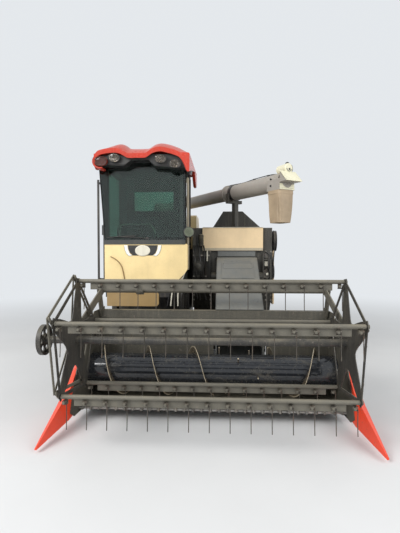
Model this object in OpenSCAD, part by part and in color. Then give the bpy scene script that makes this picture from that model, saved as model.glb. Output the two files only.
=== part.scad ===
// Full-feed combine harvester on rubber crawler tracks, in millimetres with +Z up.
// The front faces -Y and the machine's left side is +X.
// The origin is on the ground, under the middle of the whole machine.

/* [Undercarriage] */
// Middle of the undercarriage across the machine
chassis_x = -180; // [-220:10:-140]
// Distance between the middles of the two tracks
track_gauge = 1180; // [1140:10:1240]
// Width of one track
track_w = 450; // [400:10:480]
// Thickness of the belt without its lugs
belt_t = 28; // [22:1:34]
// Height of a lug
lug_h = 32; // [24:1:40]
// Number of lugs round one half of the belt
lug_count = 52; // [46:1:56]
// Radius of a road roller
roller_r = 75; // [65:1:80]
// Number of road rollers on one side
roller_count = 6; // [5:1:7]
// Radius at which the belt runs round the drive sprocket
sprocket_r = 130; // [120:1:140]
// Radius at which the belt runs round the rear idler
idler_r = 165; // [150:1:175]
// Height of the top of the main frame
deck_z = 700; // [690:5:720]

/* [Cab] */
// Right edge of the cab
cab_x0 = -1260; // [-1280:5:-1230]
// Width of the cab
cab_w = 950; // [900:10:980]
// Front of the cab at its sill
cab_y0 = -630; // [-650:5:-600]
// Rear of the cab
cab_y1 = 420; // [380:10:440]
// Height of the cab floor's top
floor_z = 1160; // [1150:5:1180]
// Height of the windscreen's sill
sill_z = 1640; // [1600:10:1680]
// Height of the eaves, where the roof starts
eaves_z = 2600; // [2560:10:2640]
// Thickness of the cab's walls
wall_t = 36; // [28:1:44]
// Thickness of the glass
glass_t = 6; // [4:1:8]
// Height of the roof above the eaves
roof_h = 205; // [180:5:220]

/* [Body] */
// Right side of the threshing unit
thresher_x0 = -240; // [-260:5:-220]
// Left side of the threshing unit
thresher_x1 = 780; // [760:5:800]
// Front of the threshing unit
thresher_y0 = -130; // [-150:5:-110]
// Rear of the threshing unit
thresher_y1 = 2160; // [2100:10:2200]
// Height of the threshing unit's top
thresher_z = 1825; // [1800:5:1850]
// Front of the grain tank
tank_y0 = 790; // [780:5:820]
// Rear of the grain tank
tank_y1 = 1860; // [1840:5:1870]
// Height of the grain tank
tank_z = 2080; // [2040:10:2100]
// Rear end of the whole machine
rear_y = 2618.5; // [2560:0.5:2640]

/* [Unloading auger] */
// Place of the auger's column, across
column_x = -950; // [-970:5:-930]
// Place of the auger's column, along
column_y = 2010; // [2000:5:2030]
// Radius of the column
column_r = 110; // [100:2:116]
// Height of the unloading tube's middle line
tube_z = 2300; // [2290:2:2320]
// Radius of the rear tube
tube_r = 88; // [80:1:92]
// Radius of the front sleeve
sleeve_r = 100; // [94:1:102]
// Distance from the column to the end of the tube
tube_len = 3360; // [3250:10:3380]
// Turn of the stowed tube from straight ahead
stow_turn = 32.8; // [32:0.1:33.6]

/* [Header] */
// Middle of the header across the machine
head_x = 40; // [30:1:50]
// Half the clear width between the header's side walls
head_half = 1190; // [1180:1:1200]
// Height of the header auger's shaft
screw_z = 345; // [340:1:355]
// Place of the header auger's shaft, along
screw_y = -1420; // [-1430:1:-1412]
// Radius of the auger's drum
drum_r = 160; // [140:2:170]
// Radius of the auger's flights
flight_r = 235; // [225:1:236]
// Pitch of the flights
flight_pitch = 445; // [400:5:480]
// Place of the feeder house's pivot, along
feed_y = -200; // [-205:1:-195]
// Height of the feeder house's pivot
feed_z = 1200; // [1190:5:1210]
// Radius of the feeder house's round rear end
feed_r = 250; // [240:1:252]

/* [Reel] */
// Place of the reel's shaft, along
reel_y = -2122; // [-2140:1:-2116]
// Height of the reel's shaft
reel_z = 782; // [776:1:800]
// Radius at which the tine bars turn
reel_r = 483; // [460:1:486]
// Half the length between the star plates' inner faces
reel_half = 1085; // [1080:1:1086]
// Number of tine bars
bar_count = 5; // [5:1:5]
// Angle of the first bar above straight ahead
bar_turn = 25.5; // [0:0.5:71]
// Number of tines on a bar
tine_count = 15; // [10:1:18]
// Length of a tine below its bar
tine_len = 232; // [200:1:236]
// Place of the reel arms' pivot, along
arm_y = -1230; // [-1240:1:-1224]
// Height of the reel arms' pivot
arm_z = 1120; // [1110:1:1130]

/* [Fits] */
// Gap between pieces that seat on each other
seat = 0.3; // [0.2:0.05:0.5]
// Gap between pieces that move past each other
running = 6; // [5:0.5:8]

/* [Hidden] */
$fn = 48;

// Half the width of the whole machine
side_x = 1330;
cab_x1 = cab_x0 + cab_w;
cab_xc = (cab_x0 + cab_x1) / 2;
belt_in_z = belt_t + lug_h;
roller_z = belt_in_z + roller_r;
first_roller_y = -330;
last_roller_y = 1180;
wheel_ease = 4;
roller_half = 75;
track_xs = [chassis_x + track_gauge / 2, chassis_x - track_gauge / 2];
idler_y = 1470;
idler_z = roller_z + 155;
carrier_y = 420;
carrier_z = roller_z + 340;
carrier_r = 60;
sprocket_y = -560;
sprocket_z = roller_z + 320;

// Columns: y, z and radius of each wheel that the belt runs round, in turn
BELT_WHEELS = [
  [first_roller_y, roller_z, roller_r],
  [last_roller_y, roller_z, roller_r],
  [idler_y, idler_z, idler_r],
  [carrier_y, carrier_z, carrier_r],
  [sprocket_y, sprocket_z, sprocket_r]];

function wheel(i) = BELT_WHEELS[(i + len(BELT_WHEELS)) % len(BELT_WHEELS)];
function wheel_gap(i) = [wheel(i + 1)[0] - wheel(i)[0], wheel(i + 1)[1] - wheel(i)[1]];
// Direction in which the straight run after wheel i faces outwards
function run_angle(i) = let (g = wheel_gap(i))
  atan2(g[1], g[0]) - acos((wheel(i)[2] - wheel(i + 1)[2]) / norm(g));
function bend(i) = (run_angle(i) - run_angle(i - 1) + 720) % 360;
function bend_len(i) = wheel(i)[2] * bend(i) * PI / 180;
function run_len(i) = let (g = wheel_gap(i), d = wheel(i)[2] - wheel(i + 1)[2])
  sqrt(g[0] * g[0] + g[1] * g[1] - d * d);
function belt_sum(i) = i < 0 ? 0 : bend_len(i) + run_len(i) + belt_sum(i - 1);
belt_len = belt_sum(len(BELT_WHEELS) - 1);
lug_pitch = belt_len / lug_count;
// Point at distance s along the belt's inner face and off millimetres outside it
function belt_at(s, off, i = 0) =
  s > bend_len(i) + run_len(i) ? belt_at(s - bend_len(i) - run_len(i), off, i + 1)
  : let (w = wheel(i), on_bend = s < bend_len(i),
         a = on_bend ? run_angle(i - 1) + s / bend_len(i) * bend(i) : run_angle(i),
         run = on_bend ? 0 : s - bend_len(i))
    [w[0] + (w[2] + off) * cos(a) - run * sin(a), w[1] + (w[2] + off) * sin(a) + run * cos(a)];
function belt_round(s, off) = belt_at((s + belt_len) % belt_len, off);

// Cylinder along X at side-view place (y, z)
module rod_x(x0, x1, y, z, r) translate([x0, y, z]) rotate([0, 90, 0]) cylinder(r = r, h = x1 - x0);
// The same along Y and along Z
module rod_y(y0, y1, x, z, r) translate([x, y1, z]) rotate([90, 0, 0]) cylinder(r = r, h = y1 - y0);
module rod_z(x, y, z0, z1, r) translate([x, y, z0]) cylinder(r = r, h = z1 - z0);
// Side-view profile (y, z) drawn out along X
module along_x(x0, x1) translate([x0, 0, 0]) rotate([90, 0, 90]) linear_extrude(x1 - x0) children();
// Front-view profile (x, z) drawn out along Y
module along_y(y0, y1) translate([0, y1, 0]) rotate([90, 0, 0]) linear_extrude(y1 - y0) children();
// Box between two corners
module block(a, b) translate(a) cube(b - a);
// Outline of a flat bar of width w with round ends at side-view places a and b
function stadium(a, b, w) = let (t = atan2(b[1] - a[1], b[0] - a[0])) concat(
  [for (k = [0 : 8]) a + w / 2 * [cos(t + 90 + k * 22.5), sin(t + 90 + k * 22.5)]],
  [for (k = [0 : 8]) b + w / 2 * [cos(t - 90 + k * 22.5), sin(t - 90 + k * 22.5)]]);
module link_x(x, t, a, b, w) along_x(x, x + t) polygon(stadium(a, b, w));
// Round bar between two points
module strut(a, b, r) {
  d = b - a;
  translate(a) rotate([0, acos(d[2] / norm(d)), atan2(d[1], d[0])]) cylinder(r = r, h = norm(d));
}

// Undercarriage
tread_half = track_w / 2;
frame_half = roller_half + seat + 12;
frame_z0 = roller_z + roller_r + 12;
frame_z1 = frame_z0 + 100;
beam_xs = [chassis_x - 300, chassis_x + 300];
beam_end = thresher_y1 - 110;
cross_ys = [60, 960];
lift_foot = [-380, 245];
lift_x = beam_xs[1];
lift_ear = 25;
tow_y = 2160;
tow_z = 650;
tow_r = 16;
eye_y0 = -425;
eye_y1 = 2090;
eye_z1 = 650;
eye_r = 18;

module roller_tab(xc, half, y, z, top) {
  for (s = [-1, 1]) translate([xc + s * (half + seat + 6) - 6, 0, 0]) {
    block([0, y - 28, min(z, top)], [12, y + 28, max(z, top)]);
    rod_x(0, 12, y, z, 28);
  }
}

module chassis_frame() color("dimgray") {
  for (xc = track_xs) {
    block([xc - frame_half, first_roller_y - 60, frame_z0], [xc + frame_half, last_roller_y + 70, frame_z1]);
    for (i = [0 : roller_count - 1])
      roller_tab(xc, roller_half, first_roller_y
        + i * (last_roller_y - first_roller_y) / (roller_count - 1), roller_z, frame_z0 + 5);
    roller_tab(xc, 50, carrier_y, carrier_z, frame_z1 - 5);
    for (s = [-1, 1])
      link_x(xc + s * (roller_half + seat + 6) - 6, 12, [last_roller_y + 20, frame_z1 - 40],
        [idler_y, idler_z], 70);
  }
  for (y = cross_ys) {
    block([track_xs[1], y - 45, frame_z0], [track_xs[0], y + 45, frame_z0 + 90]);
    for (x = beam_xs) block([x - 40, y - 40, frame_z0], [x + 40, y + 40, deck_z - 70]);
  }
  for (x = beam_xs) block([x - 40, -420, deck_z - 90], [x + 40, beam_end, deck_z - seat]);
  for (y = [-300, 300, 1000, 1700, 2020])
    block([-1180, y - 30, deck_z - 48], [thresher_x1 - 10, y + 30, deck_z - seat]);
  block([-1180, -330, deck_z - 48], [-1140, beam_end, deck_z - seat]);
  // Arm that carries the foot of the header's lift cylinder
  block([lift_x - 40, lift_foot[0] + 60, frame_z0 + 5], [lift_x + 40, cross_ys[0], frame_z0 + 85]);
  for (s = [-1, 1])
    translate([lift_x + s * (lift_ear + 5) - 5, 0, 0])
      link_x(0, 10, lift_foot, [lift_foot[0] + 80, frame_z0 + 40], 60);
  // Towing bracket at the rear, with its upright pin hole
  difference() {
    block([chassis_x - 60, beam_end - 5, tow_z - 20], [chassis_x + 60, tow_y + 45, tow_z + 20]);
    translate([chassis_x, tow_y, tow_z - 30]) cylinder(r = tow_r, h = 60);
  }
  // Lashing eyes on the front of the roller frames and on the rear of the main beams
  for (xc = track_xs) difference() {
    block([xc - 8, eye_y0 - 35, frame_z0 + 10], [xc + 8, first_roller_y - 50, frame_z0 + 90]);
    rod_x(xc - 20, xc + 20, eye_y0, frame_z0 + 50, eye_r);
  }
  for (x = beam_xs) difference() {
    block([x - 8, beam_end - 1, eye_z1 - 35], [x + 8, eye_y1 + 35, eye_z1 + 35]);
    rod_x(x - 20, x + 20, eye_y1, eye_z1, eye_r);
  }
}

function lug_points(phase) = [for (i = [0 : lug_count - 1]) let (s = (i + phase) * lug_pitch)
  each [belt_round(s - 24, belt_t), belt_round(s - 13, belt_t + lug_h),
        belt_round(s + 13, belt_t + lug_h), belt_round(s + 24, belt_t)]];
function belt_inside() = [for (i = [0 : 2 * lug_count - 1]) belt_round(i * lug_pitch / 2, 0)];

module track_half(x0, x1, phase)
  along_x(x0, x1) difference() {
    polygon(lug_points(phase));
    polygon(belt_inside());
  }

module track(xc) color([0.12, 0.12, 0.12]) {
  track_half(xc - tread_half, xc, 0);
  track_half(xc, xc + tread_half, 0.5);
}
module left_track() track(track_xs[0]);
module right_track() track(track_xs[1]);

// Grooved roller with its hub, along X
module roller(xc, y, z, r, half, rim) translate([xc, y, z]) rotate([0, 90, 0])
  rotate_extrude() polygon([[0, -half], [r * 0.45, -half], [r * 0.45, -half + 8], [r, -half + 8],
    [r, -half + 8 + rim], [r * 0.72, -half + 16 + rim], [r * 0.72, half - 16 - rim],
    [r, half - 8 - rim], [r, half - 8], [r * 0.45, half - 8], [r * 0.45, half], [0, half]]);

sprocket_teeth = 10;
module sprocket(xc) translate([xc, sprocket_y, sprocket_z]) rotate([0, 90, 0]) {
  translate([0, 0, -25]) linear_extrude(50) union() {
    difference() {
      circle(r = sprocket_r - 26);
      for (i = [0 : 4]) rotate(i * 72) translate([66, 0]) circle(r = 17);
    }
    for (i = [0 : sprocket_teeth - 1]) rotate(i * 360 / sprocket_teeth)
      polygon([[90, -20], [sprocket_r - wheel_ease, -9], [sprocket_r - wheel_ease, 9], [90, 20]]);
  }
  translate([0, 0, -35]) cylinder(r = 44, h = 70);
}

module track_wheels() color([0.2, 0.2, 0.2]) for (xc = track_xs) {
  for (i = [0 : roller_count - 1]) {
    bent = i == 0 || i == roller_count - 1;
    roller(xc, first_roller_y + i * (last_roller_y - first_roller_y) / (roller_count - 1), roller_z,
      roller_r - (bent ? wheel_ease : seat), roller_half, 34);
  }
  roller(xc, idler_y, idler_z, idler_r - wheel_ease, roller_half, 40);
  roller(xc, carrier_y, carrier_z, carrier_r - wheel_ease, 50, 24);
  sprocket(xc);
}

gear_half = 170;
module transmission() color("dimgray") {
  block([chassis_x - gear_half, -740, 340], [chassis_x + gear_half, -400, 760]);
  block([chassis_x - 110, -401, 380], [chassis_x + 110, cross_ys[0] - 45 - seat, 560]);
  // Plate that hangs the gearbox between the main beams
  block([beam_xs[0] + 40 + seat, -418, 620], [beam_xs[1] - 40 - seat, -398, 700 - 2 * seat]);
  for (s = [-1, 1]) {
    x_end = s * (track_gauge / 2 - 35 - seat);
    rod_x(chassis_x + min(0, x_end), chassis_x + max(0, x_end), sprocket_y, sprocket_z, 75);
    x_drum = s * (track_gauge / 2 - 60);
    rod_x(chassis_x + min(s * 340, x_drum), chassis_x + max(s * 340, x_drum), sprocket_y, sprocket_z, 100);
  }
}

// Engine and its housing
engine_a = [-1090, 130, deck_z];
engine_b = [-430, 660, 1090];
house_t = 12;
house_a = [-1236, -90, deck_z];
house_b = [-290, 770, floor_z - 52];
module engine() color("gray") block(engine_a, engine_b);

module engine_housing() color("dimgray") {
  difference() {
    block(house_a, house_b);
    block(house_a + [house_t, house_t, -1], house_b + [-house_t, -house_t, -house_t]);
    block([house_a[0] - 1, 60, 760], [house_a[0] + house_t + 1, 690, 1060]);
  }
  // Slats of the radiator screen
  for (i = [0 : 14]) block([house_a[0] + 2, 58, 764 + i * 20], [house_a[0] + 9, 692, 772 + i * 20]);
  for (y = [200, 375, 550]) block([house_a[0] + 2, y - 6, 755], [house_a[0] + 9, y + 6, 1065]);
  // Hood between the cab and the grain tank, with the silencer's pipe
  difference() {
    block([-1200, cab_y1 + 20, house_b[2] - 1], [-300, house_b[1], 1560]);
    block([-1200 + house_t, cab_y1 + 20 + house_t, house_b[2] - 20],
      [-300 - house_t, house_b[1] - house_t, 1560 - house_t]);
  }
  translate([-430, 640, 1500]) difference() {
    cylinder(r = 38, h = 560);
    translate([0, 0, 80]) cylinder(r = 33, h = 500);
  }
}

// Cab
module cab_floor() color("dimgray") {
  block([cab_x0, cab_y0 + 20, floor_z - 50], [cab_x1, cab_y1, floor_z]);
  // Front legs and the tan lower panel under the cab
  for (x = [cab_x0 + 20, cab_x1 - 80]) block([x, -360, deck_z], [x + 60, -240, floor_z - 45]);
  block([cab_x0 + 25, cab_y0 - 10, 980], [cab_x1 - 25, cab_y0 + 30, 1125]);
  for (x = [cab_x0 + 45, cab_x1 - 75]) block([x, cab_y0 + 15, 1000], [x + 30, -250, 1040]);
  // Steps on the right side, in front of the radiator screen
  for (z = [480, 760]) block([cab_x0 - 10, -460, z], [cab_x0 + 110, -200, z + 24]);
  for (y = [-460, -212]) block([cab_x0 + 60, y, 480], [cab_x0 + 80, y + 12, floor_z - 45]);
  // Pedestal of the seat
  block([cab_xc - 170, seat_y - 170, floor_z - 1], [cab_xc + 170, seat_y + 190, floor_z + 300 - seat]);
}

rake = 60;
cab_top_y0 = cab_y0 + rake;
// Side-view outline of the cab, drawn in by d but down by drop at its foot
function cab_outline(d, drop = 0) = [[cab_y0 + d, floor_z + d - drop], [cab_y0 + d, sill_z],
  [cab_top_y0 + d, eaves_z - d], [cab_y1 - d, eaves_z - d], [cab_y1 - d, floor_z + d - drop]];
pillar = 46;
module cab_shell() color([0.13, 0.14, 0.14]) {
  shell_walls();
  // Fixed halves of the door's hinges
  for (z = HINGE_ZS) {
    rod_z(hinge_x, hinge_y, z - 50, z - seat, 14);
    block([hinge_x, hinge_y - 8, z - 50], [cab_x0 + 1, hinge_y + 8, z - seat]);
  }
}
module shell_walls() difference() {
  along_x(cab_x0, cab_x1) polygon(cab_outline(0));
  along_x(cab_x0 + wall_t, cab_x1 - wall_t) polygon(cab_outline(wall_t, wall_t + 1));
  // Windscreen, door way, left window and rear window
  block([cab_x0 + pillar, cab_y0 - 50, sill_z + 40], [cab_x1 - pillar, cab_top_y0 + 80, eaves_z - 50]);
  block([cab_x0 - 1, cab_y0 + 130, floor_z + 40], [cab_x0 + wall_t + 1, cab_y1 - 60, eaves_z - 60]);
  block([cab_x1 - wall_t - 1, cab_y0 + 140, sill_z - 60], [cab_x1 + 1, cab_y1 - 80, eaves_z - 70]);
  block([cab_x0 + 140, cab_y1 - wall_t - 1, 1980], [cab_x1 - 140, cab_y1 + 1, eaves_z - 130]);
}

module cab_glass() color([0.2, 0.35, 0.3]) {
  // The windscreen follows the raked front inside its pillars
  intersection() {
    along_x(cab_x0 + pillar + seat, cab_x1 - pillar - seat) polygon([
      [cab_y0 + 12, sill_z], [cab_top_y0 + 12, eaves_z],
      [cab_top_y0 + 12 + glass_t, eaves_z], [cab_y0 + 12 + glass_t, sill_z]]);
    block([cab_x0, cab_y0, sill_z + 40 + seat], [cab_x1, cab_y1, eaves_z - 50 - seat]);
  }
  block([cab_x1 - wall_t / 2 - glass_t, cab_y0 + 140 + seat, sill_z - 60 + seat],
    [cab_x1 - wall_t / 2, cab_y1 - 80 - seat, eaves_z - 70 - seat]);
  block([cab_x0 + 140 + seat, cab_y1 - wall_t / 2, 1980 + seat],
    [cab_x1 - 140 - seat, cab_y1 - wall_t / 2 + glass_t, eaves_z - 130 - seat]);
}

roof_x0 = cab_x0 - 70;
roof_x1 = cab_x1 + 88;
roof_y0 = cab_top_y0 - 215;
roof_y1 = cab_y1 + 95;
lamp_rise = 34;
module cab_roof() color("firebrick") difference() {
  union() {
    intersection() {
      along_y(roof_y0, roof_y1) polygon([
        [roof_x0, eaves_z + seat], [roof_x0, eaves_z + 70], [roof_x0 + 60, eaves_z + 130],
        [roof_x0 + 250, eaves_z + roof_h], [roof_x0 + 330, eaves_z + roof_h],
        [roof_x0 + 440, eaves_z + roof_h - 45], [roof_x1 - 440, eaves_z + roof_h - 45],
        [roof_x1 - 330, eaves_z + roof_h], [roof_x1 - 250, eaves_z + roof_h],
        [roof_x1 - 60, eaves_z + 130], [roof_x1, eaves_z + 70], [roof_x1, eaves_z + seat]]);
      along_x(roof_x0, roof_x1) polygon([
        [roof_y0, eaves_z], [roof_y0 + 10, eaves_z + 95], [roof_y0 + 90, eaves_z + 150],
        [roof_y0 + 320, eaves_z + roof_h], [roof_y1 - 220, eaves_z + roof_h],
        [roof_y1 - 30, eaves_z + 130], [roof_y1, eaves_z + 60], [roof_y1, eaves_z]]);
    }
    // Cheek that comes down behind the left window
    along_x(cab_x1 + seat, roof_x1) polygon([[cab_y1 - 330, eaves_z + 2], [cab_y1 - 90, eaves_z - 280],
      [cab_y1 + 60, eaves_z - 280], [roof_y1 - 4, eaves_z + 2]]);
  }
  // Recess for the lamps under the front edge
  block([roof_x0 + 40, roof_y0 - 1, eaves_z - 1],
    [roof_x1 - 40, cab_top_y0 - seat, eaves_z + lamp_rise + seat]);
  // The cheek is hollow towards the cab
  along_x(cab_x1, roof_x1 - 30) polygon([[cab_y1 - 230, eaves_z - 20], [cab_y1 - 70, eaves_z - 250],
    [cab_y1 + 30, eaves_z - 250], [roof_y1 - 34, eaves_z - 20]]);
}

// Columns: x from the cab's middle, height under the eaves
LAMPS = [[-463, -62], [-303, -34], [220, -44], [391, -82]];
lamp_r = 62;
module roof_lamps() color([0.1, 0.1, 0.1]) {
  // Black brow under the front of the roof
  difference() {
    block([roof_x0 + 42, cab_top_y0 - 160, eaves_z - 90], [roof_x1 - 42, cab_top_y0 - 6, eaves_z + lamp_rise]);
    along_y(roof_y0, cab_top_y0) polygon([[cab_xc - 180, eaves_z - 100], [cab_xc - 120, eaves_z - 20],
      [cab_xc + 90, eaves_z - 20], [cab_xc + 150, eaves_z - 100]]);
  }
  for (l = LAMPS) translate([cab_xc + l[0], cab_top_y0 - 150, eaves_z + l[1]]) rotate([90, 0, 0])
    cylinder(r1 = lamp_r - 8, r2 = lamp_r, h = 50);
}

module cab_panel() difference() {
  along_x(cab_x0 + 22, cab_x1 - 22) polygon([
    [cab_y0 - 6, floor_z - 25], [cab_y0 - 28, floor_z + 60], [cab_y0 - 34, floor_z + 240],
    [cab_y0 - 26, sill_z - 30], [cab_y0 - seat, sill_z - 30], [cab_y0 - seat, floor_z - 25]]);
  along_y(cab_y0 - 60, cab_y0 - 22) polygon([[cab_xc - 165, sill_z], [cab_xc - 150, sill_z - 70],
    [cab_xc - 90, sill_z - 112], [cab_xc + 90, sill_z - 112],
    [cab_xc + 150, sill_z - 70], [cab_xc + 165, sill_z]]);
}

seat_y = 60;
module seat() color([0.15, 0.15, 0.15]) {
  block([cab_xc - 220, seat_y - 230, floor_z + 300], [cab_xc + 220, seat_y + 210, floor_z + 400]);
  along_x(cab_xc - 215, cab_xc + 215) polygon([[seat_y + 120, floor_z + 395], [seat_y + 200, floor_z + 900],
    [seat_y + 290, floor_z + 890], [seat_y + 235, floor_z + 395]]);
}

module controls() color([0.25, 0.25, 0.25]) {
  // Steering column with its screen and grips, then the console on the left
  block([cab_xc - 120, cab_y0 + 60, floor_z], [cab_xc + 120, cab_y0 + 150, floor_z + 420]);
  block([cab_xc - 160, cab_y0 + 50, floor_z + 419], [cab_xc + 160, cab_y0 + 170, floor_z + 480]);
  block([cab_x1 - 200, cab_y0 + 200, floor_z], [cab_x1 - 60, cab_y1 - 150, floor_z + 560]);
  for (y = [-300, -220]) {
    rod_z(cab_x1 - 130, y, floor_z + 555, floor_z + 700, 8);
    rod_z(cab_x1 - 130, y, floor_z + 690, floor_z + 735, 20);
  }
  rod_z(cab_xc + 135, cab_y0 + 120, floor_z + 475, floor_z + 600, 9);
  // Bent rail across the front, as seen through the windscreen
  rod_z(cab_xc - 330, cab_y0 + 110, floor_z, floor_z + 645, 12);
  rod_x(cab_xc - 331, cab_xc + 61, cab_y0 + 110, floor_z + 632, 10);
  rod_z(cab_xc + 60, cab_y0 + 110, floor_z + 470, floor_z + 645, 12);
}

rail_r = 13;
rail_x = -side_x + rail_r;
rail_y = cab_y0 - 10;
// Columns: height of a fixing of the rail and its place along
RAIL_FIXES = [[1190, cab_y0 + 60], [2330, cab_y0 + 100]];
module handrails() color([0.08, 0.08, 0.08]) {
  // Rail at the door's front edge, bent in at both ends
  rod_z(rail_x, rail_y, 1010, 2360, rail_r);
  for (f = RAIL_FIXES) {
    rod_y(rail_y - 4, f[1] + rail_r, rail_x, f[0], rail_r - 2);
    rod_x(rail_x - 1, cab_x0 - seat, f[1], f[0], rail_r - 4);
  }
  // Round mirror on a stalk at the cab's left front
  block([cab_x1 + seat, cab_y0 + 10, sill_z - 90], [cab_x1 + 10, cab_y0 + 50, sill_z - 40]);
  strut([cab_x1 + 9, cab_y0 + 26, sill_z - 65], [cab_x1 + 40, cab_y0 - 30, sill_z + 60], 8);
  translate([cab_x1 + 62, cab_y0 - 26, sill_z + 100]) rotate([82, 0, 12]) cylinder(r = 62, h = 26);
}

// Threshing unit
mouth_r = feed_r + 12;
mouth_x0 = 60;
mouth_x1 = 590;
module thresher_body() color([0.2, 0.2, 0.21]) {
  difference() {
    along_x(thresher_x0, thresher_x1) polygon([
      [thresher_y0, thresher_z], [thresher_y0, 1060], [60, 800], [150, deck_z], [1950, deck_z],
      [thresher_y1, 960], [thresher_y1, thresher_z - 90], [thresher_y1 - 90, thresher_z]]);
    rod_x(mouth_x0, mouth_x1, feed_y, feed_z, mouth_r);
    block([mouth_x0, -400, feed_z - mouth_r], [mouth_x1, feed_y, feed_z + mouth_r]);
    rod_x(mouth_x0 - 50, mouth_x1 + 50, feed_y, feed_z, 30 + seat);
    block([mouth_x0 - 60, thresher_y0 - 1, feed_z - 50], [mouth_x1 + 60, thresher_y0 + 1, feed_z + 50]);
  }
  for (x = [mouth_x0 - 60, mouth_x1]) difference() {
    link_x(x, 60, [feed_y, feed_z], [thresher_y0 + 40, feed_z], 110);
    rod_x(x - 1, x + 61, feed_y, feed_z, 30 + seat);
  }
  cover_shape(280, 770, -2);
  // Rest for the unloading tube
  translate([rest_pos[0], rest_pos[1], 0]) rotate([0, 0, -90 + stow_turn]) {
    block([-70, -60, thresher_z + seat], [70, 60, thresher_z + 12]);
    block([-35, -28, thresher_z + 11], [35, 28, strap_z - 40]);
    block([-30, -60, strap_z - 41], [30, 90, strap_z - seat]);
    block([-30, -130, strap_z - 41], [30, -112, tube_z - 20]);
    block([-30, -125, strap_z - 41], [30, -55, strap_z - 20]);
  }
}
rest_len = 2330;
rest_pos = [column_x + rest_len * sin(stow_turn), column_y - rest_len * cos(stow_turn)];
strap_r = sleeve_r + 4;
strap_z = tube_z - strap_r;

cover_x0 = 0;
cover_x1 = 680;
cover_h = 255;
module cover_shape(y0, y1, base) along_y(y0, y1) polygon([[cover_x0, thresher_z + base],
  [cover_x0 + 10, thresher_z + 30], [cover_x0 + 155, thresher_z + cover_h],
  [cover_x0 + 420, thresher_z + cover_h], [cover_x1 - 10, thresher_z + 30], [cover_x1, thresher_z + base]]);

module front_panel() along_x(-110, 660) polygon([
  [thresher_y0 - seat, 1530], [thresher_y0 - 34, 1535], [thresher_y0 - 40, 1550], [thresher_y0 - 40, 1815],
  [thresher_y0 - 32, thresher_z], [thresher_y0 - seat, thresher_z]]);

// Columns: y, z and radius of each pulley on the threshing unit's left side
PULLEYS = [[-40, 1660, 130], [160, 1250, 90], [520, 1500, 170], [520, 1010, 110],
  [1150, 1180, 190], [1750, 1420, 120]];
// Columns: the two pulleys of each belt and the groove it runs in
BELTS = [[0, 1, 0], [1, 2, 1], [2, 3, 0], [3, 4, 1], [4, 5, 0]];
groove_w = 14;
rib_w = 4;
groove_d = 7;
// Outline of a belt that runs at distance d outside its two pulleys
function belt_line(p, q, d) = let (g = [q[0] - p[0], q[1] - p[1]], t = atan2(g[1], g[0]),
  a = acos((p[2] - q[2]) / norm(g))) concat(
  [for (k = [0 : 12]) let (w = t + a + k * (360 - 2 * a) / 12) [p[0], p[1]] + (p[2] + d) * [cos(w), sin(w)]],
  [for (k = [0 : 12]) let (w = t - a + k * 2 * a / 12) [q[0], q[1]] + (q[2] + d) * [cos(w), sin(w)]]);
module belt_drive() color([0.09, 0.09, 0.09]) {
  for (p = PULLEYS) translate([thresher_x1 + seat, p[0], p[1]]) rotate([0, 90, 0]) rotate_extrude()
    polygon(concat([[0, 0], [34, 0], [34, 18]],
      [for (k = [0, 1]) let (x = 18 + k * (rib_w + groove_w)) each [[p[2] + 3, x], [p[2] + 3, x + rib_w],
        [p[2] - groove_d, x + rib_w], [p[2] - groove_d, x + rib_w + groove_w]]],
      [[p[2] + 3, 54], [p[2] + 3, 58], [0, 58]]));
  for (b = BELTS) {
    x = thresher_x1 + seat + 18 + rib_w + seat + b[2] * (rib_w + groove_w);
    along_x(x, x + groove_w - 2 * seat) difference() {
      polygon(belt_line(PULLEYS[b[0]], PULLEYS[b[1]], 5));
      polygon(belt_line(PULLEYS[b[0]], PULLEYS[b[1]], 2 * seat - groove_d + belt_sag));
    }
  }
}
belt_sag = 2;
// Columns: y and z of the stays that carry the side sheets, clear of the belts
STAYS = [[365, 845], [1000, 860], [1900, 860], [800, 1600], [1330, 1600], [1980, 1580]];

module cover_panels() color([0.95, 0.87, 0.62]) {
  cab_panel();
  front_panel();
  // Cover sheets along the left side, behind the open belt drive
  along_x(thresher_x1 + 66, thresher_x1 + 84) polygon([[330, 800], [330, 1500], [420, 1640],
    [2080, 1640], [2120, 1560], [2120, 960], [1950, 780], [400, 780]]);
  for (p = STAYS) rod_x(thresher_x1 + seat, thresher_x1 + 67, p[0], p[1], 12);
}

tank_x0 = column_x - 260;
tank_x1 = thresher_x0 - 12;
tank_back_z = tank_z - 600;
module grain_tank() color([0.93, 0.85, 0.65]) {
  along_x(tank_x0, tank_x1) polygon([[tank_y0, deck_z + 260], [tank_y0, tank_z - 30],
    [tank_y0 + 30, tank_z], [tank_y1 - 460, tank_z], [tank_y1, tank_back_z], [tank_y1, deck_z + 120],
    [tank_y1 - 300, deck_z], [tank_y0 + 250, deck_z]]);
  // Pressed ribs of the outer side, and the hatch on the top
  for (k = [0 : 4]) block([tank_x0 - 7, tank_y0 + 110 + k * 195, deck_z + 300],
    [tank_x0 + 1, tank_y0 + 150 + k * 195, k < 3 ? tank_z - 120 : tank_back_z + 40]);
  block([tank_x0 + 200, tank_y0 + 90, tank_z - 1], [tank_x1 - 200, tank_y1 - 520, tank_z + 26]);
  // Trough and foot of the unloading auger
  rod_z(column_x, column_y, deck_z, column_z0 - 20, column_r + 14);
  rod_y(tank_y1 - 40, column_y, column_x, deck_z + 90, 80);
}

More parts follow.
